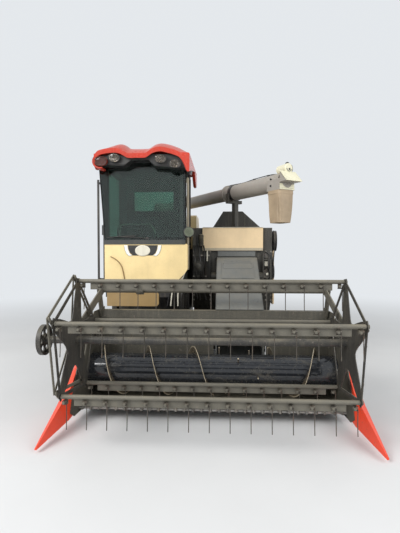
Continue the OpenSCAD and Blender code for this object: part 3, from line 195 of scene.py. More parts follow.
def worn_paint(name, colour, dust, roughness=0.38, dusty=0.5, chips=0.15, metal=0.0, streaks=0.5,
               bare=(0.20, 0.17, 0.14)):
    """Sprayed paint with cloudy tone, dust on what faces up, run marks, scratches and chips"""
    box = Paintbox(name)
    cloud = box.noise(2.3, 5, 0.6)
    fine = box.noise(38, 4, 0.6)
    tone = box.mix(box.span(cloud, 0.3, 0.7), shade(colour, 0.84), shade(colour, 1.1))
    runs = box.noise(7, 5, 0.6, box.place((4.0, 4.0, 0.35)))
    run_mask = box.math("MULTIPLY", box.span(runs, 0.5, 0.72), streaks * 0.45)
    tone = box.mix(run_mask, tone, shade(dust, 0.8))
    up = box.span(box.axis("Z", "Normal"), 0.1, 0.95, 0.12, 1.0)
    patch = box.span(box.noise(5.5, 6, 0.65), 0.32, 0.68)
    layer = box.math("MULTIPLY", box.math("MULTIPLY", up, patch), dusty, True)
    grains = box.math("MULTIPLY", box.span(box.noise(150, 2, 0.5), 0.52, 0.7), dusty * 0.35)
    layer = box.math("ADD", layer, grains, True)
    tone = box.mix(layer, tone, dust)
    chip_field = box.noise(26, 5, 0.72, warp=0.4)
    chip = box.span(chip_field, 0.70 - chips * 0.25, 0.74 - chips * 0.25)
    chip = box.math("MULTIPLY", chip, min(1.0, chips * 3.5), True)
    tone = box.mix(chip, tone, bare)
    scratch = box.noise(60, 2, 0.5, box.place((0.5, 6.0, 3.0), (0.3, 0.5, 0.2)))
    scratch_mask = box.math("MULTIPLY", box.span(scratch, 0.70, 0.74), chips, True)
    tone = box.mix(scratch_mask, tone, shade(bare, 1.7))
    rough = box.span(box.math("ADD", layer, chip, True), 0, 1, roughness, 0.88)
    rough = box.math("ADD", rough, box.span(fine, 0.3, 0.7, -0.05, 0.07), True)
    height = box.math("SUBTRACT", box.math("MULTIPLY", fine, 0.25), box.math("MULTIPLY", chip, 0.8))
    return box.finish(Base_Color=tone, Roughness=rough, Metallic=metal, Normal=box.bump(height, 0.0012, 0.55))


def worn_steel(name, colour, dust, roughness=0.42, dusty=0.35, rust=0.3):
    """Bare or thinly painted steel with rust, dust and rubbed bright places"""
    box = Paintbox(name)
    cloud = box.noise(9, 6, 0.65)
    tone = box.mix(box.span(cloud, 0.35, 0.65), shade(colour, 0.7), shade(colour, 1.25))
    rusty = box.math("MULTIPLY", box.span(box.noise(17, 6, 0.7, warp=0.3), 0.5, 0.66), rust, True)
    tone = box.mix(rusty, tone, (0.12, 0.052, 0.022))
    up = box.span(box.axis("Z", "Normal"), -0.1, 0.9, 0.2, 1.0)
    layer = box.math("MULTIPLY", box.math("MULTIPLY", up, box.span(box.noise(12, 4, 0.6), 0.35, 0.62)), dusty, True)
    tone = box.mix(layer, tone, dust)
    rough = box.span(box.math("ADD", layer, rusty, True), 0, 1, roughness, 0.9)
    metal = box.span(box.math("ADD", layer, rusty, True), 0, 0.8, 0.85, 0.0)
    return box.finish(Base_Color=tone, Roughness=rough, Metallic=metal,
                      Normal=box.bump(box.noise(70, 4, 0.6), 0.001, 0.4))


def moulded(name, colour, dust, roughness=0.5, dusty=0.25, grain=220, gloss=0.5):
    """Moulded plastic or rubber with a fine grain and a film of dust"""
    box = Paintbox(name)
    tone = box.mix(box.span(box.noise(4, 4, 0.6), 0.3, 0.7), shade(colour, 0.8), shade(colour, 1.2))
    up = box.span(box.axis("Z", "Normal"), -0.2, 0.9, 0.15, 1.0)
    layer = box.math("MULTIPLY", box.math("MULTIPLY", up, box.span(box.noise(14, 6, 0.65), 0.35, 0.65)), dusty, True)
    tone = box.mix(layer, tone, dust)
    rough = box.span(layer, 0, 1, roughness, 0.9)
    return box.finish(Base_Color=tone, Roughness=rough, Specular_IOR_Level=gloss,
                      Normal=box.bump(box.noise(grain, 2, 0.5), 0.0006, 0.5))


def tinted_glass(name, tint, dust, gloss=0.5):
    """Green glass with a light film of dust"""
    box = Paintbox(name)
    film = box.math("MULTIPLY", box.span(box.noise(6, 6, 0.65), 0.4, 0.75), 0.16, True)
    tone = box.mix(film, tint, shade(dust, 0.9))
    return box.finish(Base_Color=tone, Roughness=box.span(film, 0, 0.2, 0.02, 0.10), Transmission_Weight=0.995,
                      IOR=1.45, Specular_IOR_Level=gloss)


def drum_finish(name, dust):
    """Black drum rubbed glossy by the crop, with straw-coloured smears and bright edges on its flights"""
    box = Paintbox(name)
    off_y = box.math("SUBTRACT", box.axis("Y"), SCREW_Y)
    off_z = box.math("SUBTRACT", box.axis("Z"), SCREW_Z)
    radius = box.math("SQRT", box.math("ADD", box.math("MULTIPLY", off_y, off_y), box.math("MULTIPLY", off_z, off_z)))
    smear = box.span(box.noise(5, 6, 0.7, box.place((1.0, 2.6, 2.6)), 0.5), 0.54, 0.74)
    speck = box.span(box.noise(45, 4, 0.65), 0.56, 0.68)
    layer = box.math("MULTIPLY", box.math("ADD", smear, box.math("MULTIPLY", speck, 0.5), True), 0.34, True)
    tone = box.mix(layer, (0.016, 0.018, 0.022), shade(dust, 0.75))
    tone = box.mix(box.span(radius, *DRUM_SKIN), tone, (0.085, 0.066, 0.042))
    tone = box.mix(box.span(radius, *FLIGHT_RIM), tone, (0.50, 0.42, 0.30))
    rough = box.span(layer, 0, 0.34, 0.10, 0.55)
    return box.finish(Base_Color=tone, Roughness=rough, Coat_Weight=0.3,
                      Normal=box.bump(box.noise(24, 5, 0.6), 0.0015, 0.3))


def woven_cloth(name, colour):
    """Plain weave of dark seat cloth"""
    box = Paintbox(name)
    warp = box.node("ShaderNodeTexWave", box.place((1, 1, 1)), 260.0, bands_direction="X")
    weft = box.node("ShaderNodeTexWave", box.place((1, 1, 1)), 260.0, bands_direction="Y")
    weave = box.math("MULTIPLY", warp, weft)
    tone = box.mix(box.span(box.noise(11, 4, 0.6), 0.3, 0.7), shade(colour, 0.75), shade(colour, 1.35))
    return box.finish(Base_Color=tone, Roughness=0.92, Sheen_Weight=0.25, Normal=box.bump(weave, 0.0006, 0.6))


def finished_object(name, bm, material, body, smooth=True, replaces=(), outward=False):
    """Makes an object at the origin from a bmesh, gives it its finish and lets it ride on its body"""
    bmesh.ops.remove_doubles(bm, verts=bm.verts, dist=1e-6)
    if outward:
        bmesh.ops.recalc_face_normals(bm, faces=bm.faces)
    mesh = bpy.data.meshes.new(name)
    bm.to_mesh(mesh)
    bm.free()
    if smooth:
        mesh.shade_smooth()
        mesh.set_sharp_from_angle(angle=math.radians(38))
    piece = bpy.data.objects.new(name, mesh)
    bpy.context.scene.collection.objects.link(piece)
    mesh.materials.append(material)
    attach(piece, body)
    if replaces:
        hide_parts(*replaces)
    return piece


def add_box(bm, low, high, bevel=0.0):
    """Box between two corners, with its edges rounded by bevel"""
    made = bmesh.ops.create_cube(bm, size=1.0)["verts"]
    low, high = Vector(low), Vector(high)
    for vert in made:
        vert.co = Vector(((low[i] + high[i]) / 2 + vert.co[i] * (high[i] - low[i]) for i in range(3)))
    if bevel:
        edges = {edge for vert in made for edge in vert.link_edges}
        bmesh.ops.bevel(bm, geom=list(edges), offset=bevel, segments=2, affect="EDGES")


def turned_to(direction):
    """Matrix that turns +Z to direction"""
    return Vector(direction).to_track_quat("Z", "Y").to_matrix().to_4x4()


def add_lathe(bm, origin, direction, profile, steps=32):
    """Solid of revolution about direction through origin, from (distance, radius) pairs"""
    matrix = Matrix.Translation(Vector(origin)) @ turned_to(direction)
    rings = []
    for along, radius in profile:
        if radius < 1e-6:
            rings.append([bm.verts.new(matrix @ Vector((0, 0, along)))])
        else:
            rings.append([bm.verts.new(matrix @ Vector((radius * math.cos(t), radius * math.sin(t), along)))
                          for t in (2 * math.pi * k / steps for k in range(steps))])
    for lower, upper in zip(rings, rings[1:]):
        for k in range(steps):
            a, b = lower[k % len(lower)], lower[(k + 1) % len(lower)]
            c, d = upper[(k + 1) % len(upper)], upper[k % len(upper)]
            corners = list(dict.fromkeys((a, b, c, d)))
            if len(corners) > 2:
                bm.faces.new(corners)
    for ring, flip in ((rings[0], True), (rings[-1], False)):
        if len(ring) > 2:
            bm.faces.new(list(reversed(ring)) if flip else ring)


def smooth_path(points, per_span=8):
    """Points of a smooth curve through the given points"""
    pts = [Vector(p) for p in points]
    ends = [2 * pts[0] - pts[1]] + pts + [2 * pts[-1] - pts[-2]]
    out = []
    for i in range(1, len(ends) - 2):
        p0, p1, p2, p3 = ends[i - 1:i + 3]
        for k in range(per_span):
            t = k / per_span
            out.append(0.5 * (2 * p1 + (p2 - p0) * t + (2 * p0 - 5 * p1 + 4 * p2 - p3) * t * t
                              + (3 * p1 - p0 - 3 * p2 + p3) * t ** 3))
    out.append(pts[-1])
    return out


def add_tube(bm, points, radius, sides=10, caps=True):
    """Round tube along points"""
    rings = []
    normal = None
    for i, point in enumerate(points):
        ahead = points[min(i + 1, len(points) - 1)] - points[max(i - 1, 0)]
        ahead.normalize()
        if normal is None:
            normal = ahead.orthogonal().normalized()
        normal = (normal - ahead * normal.dot(ahead)).normalized()
        side = ahead.cross(normal)
        rings.append([bm.verts.new(point + radius * (normal * math.cos(t) + side * math.sin(t)))
                      for t in (2 * math.pi * k / sides for k in range(sides))])
    for lower, upper in zip(rings, rings[1:]):
        for k in range(sides):
            bm.faces.new((lower[k], lower[(k + 1) % sides], upper[(k + 1) % sides], upper[k]))
    if caps:
        bm.faces.new(list(reversed(rings[0])))
        bm.faces.new(rings[-1])


def add_part(bm, part):
    """Adds another bmesh to bm and frees it"""
    mesh = bpy.data.meshes.new("part")
    part.to_mesh(mesh)
    part.free()
    bm.from_mesh(mesh)
    bpy.data.meshes.remove(mesh)


def add_plate(bm, outline, thickness, matrix):
    """Flat plate with an outline in its own plane, brought to its place by matrix"""
    low = [bm.verts.new(matrix @ Vector((x, y, 0))) for x, y in outline]
    high = [bm.verts.new(matrix @ Vector((x, y, thickness))) for x, y in outline]
    bm.faces.new(list(reversed(low)))
    bm.faces.new(high)
    count = len(outline)
    for k in range(count):
        bm.faces.new((low[k], low[(k + 1) % count], high[(k + 1) % count], high[k]))


def round_edges(bm, offset, segments=2):
    """Rounds all of a mesh's edges"""
    bmesh.ops.bevel(bm, geom=list(bm.edges), offset=offset, segments=segments, affect="EDGES")


def facing_front(x, y, z):
    """Matrix that stands a flat outline upright at a place, so that its thickness goes to the front"""
    return Matrix(((1, 0, 0, x), (0, 0, -1, y), (0, 1, 0, z), (0, 0, 0, 1)))


def facing_left(x, y, z):
    """Matrix that turns a flat outline into the side view, so that its thickness goes to the left"""
    return Matrix(((0, 0, 1, x), (1, 0, 0, y), (0, 1, 0, z), (0, 0, 0, 1)))


class RepeatTree:
    """Geometry Nodes tree with named inputs, whose settings are made by socket identifier"""

    def __init__(self, name):
        self.tree = bpy.data.node_groups.new(name, "GeometryNodeTree")
        self.tree.interface.new_socket(name="Geometry", in_out="INPUT", socket_type="NodeSocketGeometry")
        self.tree.interface.new_socket(name="Geometry", in_out="OUTPUT", socket_type="NodeSocketGeometry")
        self.entry = self.tree.nodes.new("NodeGroupInput")
        self.exit = self.tree.nodes.new("NodeGroupOutput")
        self.settings = {}

    def value(self, name, setting, kind="NodeSocketFloat"):
        socket = self.tree.interface.new_socket(name=name, in_out="INPUT", socket_type=kind)
        self.settings[socket.identifier] = setting
        return self.entry.outputs[name]

    def node(self, kind, inputs=None, out=0, **options):
        made = self.tree.nodes.new(kind)
        for key, option in options.items():
            setattr(made, key, option)
        for key, source in (inputs or {}).items():
            if isinstance(source, bpy.types.NodeSocket):
                self.tree.links.new(source, made.inputs[key])
            else:
                made.inputs[key].default_value = source
        return made.outputs[out]

    def close(self, shape, material):
        """Ends the tree in Realize Instances and Set Material"""
        real = self.node("GeometryNodeRealizeInstances", {0: shape})
        done = self.node("GeometryNodeSetMaterial", {0: real})
        done.node.inputs["Material"].default_value = material
        self.tree.links.new(done, self.exit.inputs[0])

    def on_points(self, shape):
        """Instances of shape on the base mesh's points, with +Z along each point's aim"""
        aim = self.node("GeometryNodeInputNamedAttribute", {0: "aim"}, data_type="FLOAT_VECTOR")
        turn = self.node("FunctionNodeAlignRotationToVector", {"Vector": aim}, axis="Z")
        return self.node("GeometryNodeInstanceOnPoints",
                         {"Points": self.entry.outputs[0], "Instance": shape, "Rotation": turn})

    def apply(self, name, base, body, material, slot=None, replaces=()):
        """Runs the tree on a base mesh and gives the plain piece that rides on body"""
        carrier = bpy.data.objects.new(name, base)
        bpy.context.scene.collection.objects.link(carrier)
        modifier = carrier.modifiers.new("repeat", "NODES")
        modifier.node_group = self.tree
        for identifier, setting in self.settings.items():
            modifier[identifier] = setting
        bpy.context.view_layer.update()
        evaluated = carrier.evaluated_get(bpy.context.evaluated_depsgraph_get())
        mesh = bpy.data.meshes.new_from_object(evaluated)
        carrier.modifiers.remove(modifier)
        carrier.data = mesh
        mesh.name = name
        if not mesh.polygons:
            raise RuntimeError(name + " came out empty")
        mesh.materials.clear()
        mesh.materials.append(material)
        mesh.shade_smooth()
        mesh.set_sharp_from_angle(angle=math.radians(40))
        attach(carrier, body)
        if replaces:
            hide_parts(*replaces)
        return carrier


def aimed_points(name, spots):
    """Base mesh with one point for each (place, aim)"""
    mesh = bpy.data.meshes.new(name)
    mesh.from_pydata([tuple(place) for place, _ in spots], [], [])
    aims = mesh.attributes.new("aim", "FLOAT_VECTOR", "POINT")
    for i, (_, aim) in enumerate(spots):
        aims.data[i].vector = Vector(aim).normalized()
    return mesh


def bolt_rows(name, spots, radius, material, body, slot=None):
    """Bolt heads with washers on the given spots"""
    tree = RepeatTree(name + "_tree")
    size = tree.value("Head radius", radius)
    depth = tree.value("Head depth", radius * 1.3)
    head = tree.node("GeometryNodeMeshCylinder", {"Vertices": 6, "Radius": size, "Depth": depth})
    washer_radius = tree.node("ShaderNodeMath", {0: size, 1: 1.55}, operation="MULTIPLY")
    washer = tree.node("GeometryNodeMeshCylinder", {"Vertices": 14, "Radius": washer_radius, "Depth": radius * 0.35})
    both = tree.tree.nodes.new("GeometryNodeJoinGeometry")
    tree.tree.links.new(head, both.inputs[0])
    tree.tree.links.new(washer, both.inputs[0])
    tree.close(tree.on_points(both.outputs[0]), material)
    return tree.apply(name, aimed_points(name + "_spots", spots), body, material, slot)


FINISH = {}


def colour_of(context, name):
    return tuple(getattr(context.scene.harvester_colours, name))


def make_finishes(context):
    dust = colour_of(context, "dust")
    black = colour_of(context, "black")
    grit = (0.27, 0.235, 0.165)
    FINISH.update({
        "cream": worn_paint("cream_paint", colour_of(context, "cream"), dust, 0.30, 0.22, 0.05, streaks=0.12),
        "panel": worn_paint("panel_cream_paint", (0.80, 0.61, 0.37), dust, 0.34, 0.22, 0.06, streaks=0.12),
        "machine": worn_paint("machine_dark_paint", (0.028, 0.027, 0.024), grit, 0.5, 0.65, 0.14),
        "tan": worn_paint("lower_panel_painted_shade", colour_of(context, "tan"), dust, 0.45, 0.5, 0.12),
        "red": worn_paint("red_gel_coat", colour_of(context, "red"), dust, 0.22, 0.22, 0.03, streaks=0.25),
        "orange": worn_paint("orange_paint", colour_of(context, "orange"), dust, 0.38, 0.14, 0.26, streaks=0.15),
        "grey": worn_paint("hood_grey_paint", colour_of(context, "grey"), dust, 0.26, 0.3, 0.10),
        "tube": worn_paint("tube_paint", colour_of(context, "tube"), dust, 0.42, 0.45, 0.10, bare=(0.10, 0.07, 0.05)),
        "black": worn_paint("black_paint", black, dust, 0.36, 0.42, 0.10),
        "charcoal": worn_paint("cab_charcoal_paint", (0.042, 0.047, 0.046), dust, 0.33, 0.25, 0.03, streaks=0.2),
        "header": worn_paint("header_dusty_paint", (0.064, 0.060, 0.048), grit, 0.5, 0.62, 0.24),
        "reel": worn_paint("reel_dusty_paint", (0.135, 0.126, 0.102), grit, 0.52, 0.55, 0.26, metal=0.15),
        "hood": worn_paint("feeder_hood_paint", (0.135, 0.140, 0.134), grit, 0.28, 0.25, 0.08, streaks=0.3),
        "star": worn_paint("star_plate_paint", (0.026, 0.025, 0.024), grit, 0.42, 0.5, 0.28),
        "chassis": worn_paint("chassis_muddy_paint", (0.035, 0.033, 0.030), dust, 0.6, 0.85, 0.2),
        "rubber": moulded("track_rubber", (0.020, 0.020, 0.020), dust, 0.72, 0.7, 120),
        "belt": moulded("drive_rubber", (0.012, 0.012, 0.012), dust, 0.55, 0.35, 260),
        "plastic": moulded("black_plastic", (0.020, 0.021, 0.022), dust, 0.42, 0.22, 300),
        "iron": worn_steel("wheel_iron", (0.10, 0.095, 0.09), dust, 0.5, 0.65, 0.55),
        "steel": worn_steel("knife_steel", (0.34, 0.33, 0.31), dust, 0.36, 0.35, 0.35),
        "wire": worn_steel("tine_wire", (0.085, 0.078, 0.068), dust, 0.42, 0.25, 0.40),
        "bright": worn_steel("bright_steel", (0.55, 0.54, 0.52), dust, 0.22, 0.12, 0.08),
        "bolt": worn_steel("bolt_steel", (0.30, 0.28, 0.25), dust, 0.4, 0.35, 0.35),
        "sleeve": moulded("sleeve_plastic", (0.36, 0.27, 0.175), dust, 0.55, 0.35, 90),
        "drum": drum_finish("drum_gloss_black", grit),
        "glass": tinted_glass("green_glass", (0.22, 0.40, 0.34), dust, 0.06),
        "screen": tinted_glass("windscreen_glass", (0.55, 0.68, 0.62), dust, 0.04),
        # Near-black finish: on the sheets inside the cab it is painted shade, on the windscreen's border it is the
        # border's own black
        "lining_black_and_painted_shade": moulded("cab_lining_black_and_painted_shade", (0.006, 0.007, 0.007), dust, 0.7, 0.02, 200, 0.06),
        "cover": worn_paint("end_cover_paint", (0.80, 0.76, 0.56), dust, 0.35, 0.2, 0.02, streaks=0.1),
        "white": worn_paint("white_trim", (0.86, 0.86, 0.82), dust, 0.35, 0.15, 0.0, streaks=0.05),
        "pale": worn_paint("pale_trim", (0.74, 0.70, 0.58), dust, 0.4, 0.3, 0.03),
        "hose": moulded("hose_rubber", (0.010, 0.010, 0.011), dust, 0.35, 0.2, 300),
        # Brown of the painted shadow line on the cab's front panel
        "painted_shadow_brown": moulded("painted_shadow_brown", (0.24, 0.14, 0.05), dust, 0.5, 0.1, 300),
        "mirror": worn_steel("mirror_face", (0.22, 0.24, 0.17), dust, 0.12, 0.05, 0.0),
        "lens": tinted_glass("lamp_lens", (0.62, 0.58, 0.52), dust),
        "reflector": worn_steel("lamp_reflector", (0.30, 0.28, 0.26), dust, 0.25, 0.2, 0.1),
        "red_dark": worn_paint("lamp_rim_paint", shade(colour_of(context, "red"), 0.4), dust, 0.35, 0.4, 0.05),
        "beige": worn_paint("pillar_beige", (0.46, 0.40, 0.29), dust, 0.45, 0.4, 0.08),
        "cloth": woven_cloth("seat_cloth", (0.030, 0.031, 0.034)),
        "engine": worn_steel("engine_iron", (0.12, 0.12, 0.12), dust, 0.55, 0.5, 0.3),
    })


# Finish of each node of the frame that stays
NODE_FINISH = {
    "chassis_frame": "chassis", "left_track": "rubber", "right_track": "rubber", "track_wheels": "iron",
    "transmission": "chassis", "engine": "engine", "engine_housing": "black", "cab_floor": "black",
    "cab_shell": "charcoal", "cab_glass": "glass", "cab_roof": "red", "roof_lamps": "plastic", "seat": "cloth",
    "controls": "plastic", "handrails": "black", "thresher_body": "machine", "cover_panels": "panel",
    "belt_drive": "belt", "grain_tank": "cream", "straw_hood": "grey", "cab_door": "charcoal",
    "door_glass": "glass", "threshing_cover": "machine", "auger_column": "black", "auger_tube": "tube",
    "spout_sleeve": "sleeve", "auger_barrel": "black", "auger_rod": "bright", "feeder_house": "hood",
    "header_frame": "header", "crop_dividers": "orange", "cutter_bar": "steel", "header_auger": "drum",
    "header_barrel": "black", "header_rod": "bright", "reel_arms": "reel", "reel_rotor": "star",
    "eccentric_ring": "reel", "tine_bar_1": "reel", "tine_bar_2": "reel", "tine_bar_3": "reel",
    "tine_bar_4": "reel", "tine_bar_5": "reel", "reel_barrels": "black", "reel_rods": "bright",
}


class HARVESTER_OT_paint(bpy.types.Operator):
    """Gives every node of the frame its finish"""
    bl_idname = "harvester.paint"
    bl_label = "Paint the frame"

    def execute(self, context):
        make_finishes(context)
        for name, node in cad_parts.items():
            material = FINISH[NODE_FINISH[name]]
            node.data.materials.clear()
            node.data.materials.append(material)
        return {"FINISHED"}


BACKDROP = (0.78, 0.81, 0.84, 1)


def seen_directly(nodes, links):
    """One for the rays that show the backdrop: from the camera, off gloss and through glass"""
    ray = nodes.new("ShaderNodeLightPath")
    value = ray.outputs["Is Camera Ray"]
    for name in ("Is Glossy Ray", "Is Transmission Ray"):
        pick = nodes.new("ShaderNodeMath")
        pick.operation = "MAXIMUM"
        links.new(value, pick.inputs[0])
        links.new(ray.outputs[name], pick.inputs[1])
        value = pick.outputs[0]
    return value


class HARVESTER_OT_stage(bpy.types.Operator):
    """Sets the floor, the light and the camera"""
    bl_idname = "harvester.stage"
    bl_label = "Set the stage"

    def execute(self, context):
        scene = context.scene
        scene.view_settings.view_transform = "Standard"
        bm = bmesh.new()
        bmesh.ops.create_grid(bm, x_segments=1, y_segments=1, size=60)
        mesh = bpy.data.meshes.new("floor")
        bm.to_mesh(mesh)
        bm.free()
        floor = bpy.data.objects.new("floor", mesh)
        scene.collection.objects.link(floor)
        box = Paintbox("floor_pale")
        tone = box.mix(box.span(box.noise(0.8, 4), 0.3, 0.7), (0.66, 0.66, 0.655), (0.70, 0.70, 0.695))
        # Far from the machine the floor takes the backdrop's colour
        away = box.node("ShaderNodeVectorMath", box.coords.outputs["Object"], out=1, operation="LENGTH")
        far = box.node("ShaderNodeMapRange", away, 3.2, 11.0, 0.0, 1.0, interpolation_type="SMOOTHSTEP")
        box.finish(Base_Color=tone, Roughness=0.85)
        glow = box.nodes.new("ShaderNodeEmission")
        glow.inputs[0].default_value = BACKDROP
        blend = box.nodes.new("ShaderNodeMixShader")
        box.links.new(box.math("MULTIPLY", far, seen_directly(box.nodes, box.links)), blend.inputs[0])
        box.links.new(box.shader.outputs[0], blend.inputs[1])
        box.links.new(glow.outputs[0], blend.inputs[2])
        box.links.new(blend.outputs[0], box.nodes["Material Output"].inputs[0])
        mesh.materials.append(box.material)

        world = bpy.data.worlds.new("soft_studio")
        scene.world = world
        world.use_nodes = True
        nodes, links = world.node_tree.nodes, world.node_tree.links
        room = nodes["Background"]
        room.inputs[0].default_value = (0.94, 0.97, 1.0, 1)
        room.inputs[1].default_value = 0.62
        shown = nodes.new("ShaderNodeBackground")
        shown.inputs[0].default_value = BACKDROP
        shown.inputs[1].default_value = 1.0
        blend = nodes.new("ShaderNodeMixShader")
        links.new(seen_directly(nodes, links), blend.inputs[0])
        links.new(room.outputs[0], blend.inputs[1])
        links.new(shown.outputs[0], blend.inputs[2])
        links.new(blend.outputs[0], nodes["World Output"].inputs[0])

        for name, place, size, power in (("key", (-6.5, -7.5, 7.0), 5.0, 900), ("fill", (6.5, -6.0, 5.0), 6.0, 380)):
            lamp = bpy.data.lights.new(name, "AREA")
            lamp.size = size
            lamp.energy = power
            holder = bpy.data.objects.new(name, lamp)
            holder.location = place
            holder.rotation_euler = (Vector((0, -0.5, 1.0)) - Vector(place)).to_track_quat("-Z", "Y").to_euler()
            scene.collection.objects.link(holder)

        lens = bpy.data.cameras.new("camera")
        lens.lens = CAMERA_LENS
        lens.sensor_width = 36
        lens.clip_end = 200
        camera = bpy.data.objects.new("camera", lens)
        camera.location = CAMERA_PLACE
        camera.rotation_euler = (math.radians(90 - CAMERA_DOWN), 0, math.radians(CAMERA_TURN))
        scene.collection.objects.link(camera)
        scene.camera = camera
        return {"FINISHED"}


def curve_through(table, value):
    """Smooth value at a place, through a table of (place, value)"""
    if value <= table[0][0]:
        return table[0][1]
    if value >= table[-1][0]:
        return table[-1][1]
    k = max(i for i in range(len(table) - 1) if table[i][0] <= value)

    def slope(i):
        before, after = table[max(i - 1, 0)], table[min(i + 1, len(table) - 1)]
        return (after[1] - before[1]) / (after[0] - before[0])

    (x0, y0), (x1, y1) = table[k], table[k + 1]
    step = x1 - x0
    t = (value - x0) / step
    return ((2 * t ** 3 - 3 * t ** 2 + 1) * y0 + (t ** 3 - 2 * t ** 2 + t) * step * slope(k)
            + (3 * t ** 2 - 2 * t ** 3) * y1 + (t ** 3 - t ** 2) * step * slope(k + 1))


ROOF_LOW, ROOF_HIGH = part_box("cab_roof")
# Columns: across from the cab's middle, height over the eaves of the roof's highest line
ROOF_CREST = ((-0.545, 0.040), (-0.51, 0.083), (-0.43, 0.130), (-0.34, 0.178), (-0.275, 0.202), (-0.22, 0.190),
              (-0.16, 0.150), (-0.10, 0.143), (0.03, 0.143), (0.09, 0.150), (0.15, 0.188), (0.205, 0.202),
              (0.29, 0.192), (0.38, 0.164), (0.46, 0.126), (0.52, 0.080), (0.563, 0.015))
# Columns: the same, of the lower edge of the roof's front
ROOF_LIP = ((-0.545, -0.10), (-0.525, -0.03), (-0.50, 0.008), (-0.44, 0.028), (-0.349, 0.040), (-0.26, 0.036),
            (-0.20, 0.008), (-0.151, -0.018), (-0.05, -0.020), (0.056, -0.018), (0.10, 0.008), (0.134, 0.030),
            (0.221, 0.050), (0.316, 0.030), (0.402, 0.004), (0.46, -0.03), (0.505, -0.10), (0.535, -0.175),
            (0.563, -0.18))
# Columns: distance behind the roof's front, height over the eaves of the lower edge of its right and left side
ROOF_SKIRT_RIGHT = ((0.0, -0.11), (0.08, -0.132), (0.16, -0.115), (0.22, -0.035), (0.28, 0.001), (2.0, 0.001))
ROOF_SKIRT_LEFT = ((0.0, -0.18), (0.15, -0.14), (0.35, -0.10), (0.60, -0.055), (0.85, -0.015), (0.95, 0.001),
                   (2.0, 0.001))


def roof_height(x, y):
    """Height of the roof's skin over the ground: two brows at the front that run back as humps"""
    across = x - CAB_XC
    crest = curve_through(ROOF_CREST, across)
    nose = min(crest, max(curve_through(ROOF_LIP, across), -0.02) + 0.052)
    rise = min(1.0, max(0.0, (y - ROOF_LOW[1]) / 0.34))
    fall = min(1.0, max(0.0, (ROOF_HIGH[1] - y) / 0.24))
    top = nose + (crest - nose) * (1 - (1 - rise) ** 2.3)
    return EAVES_Z + top - (top - 0.055) * (1 - fall) ** 2.2


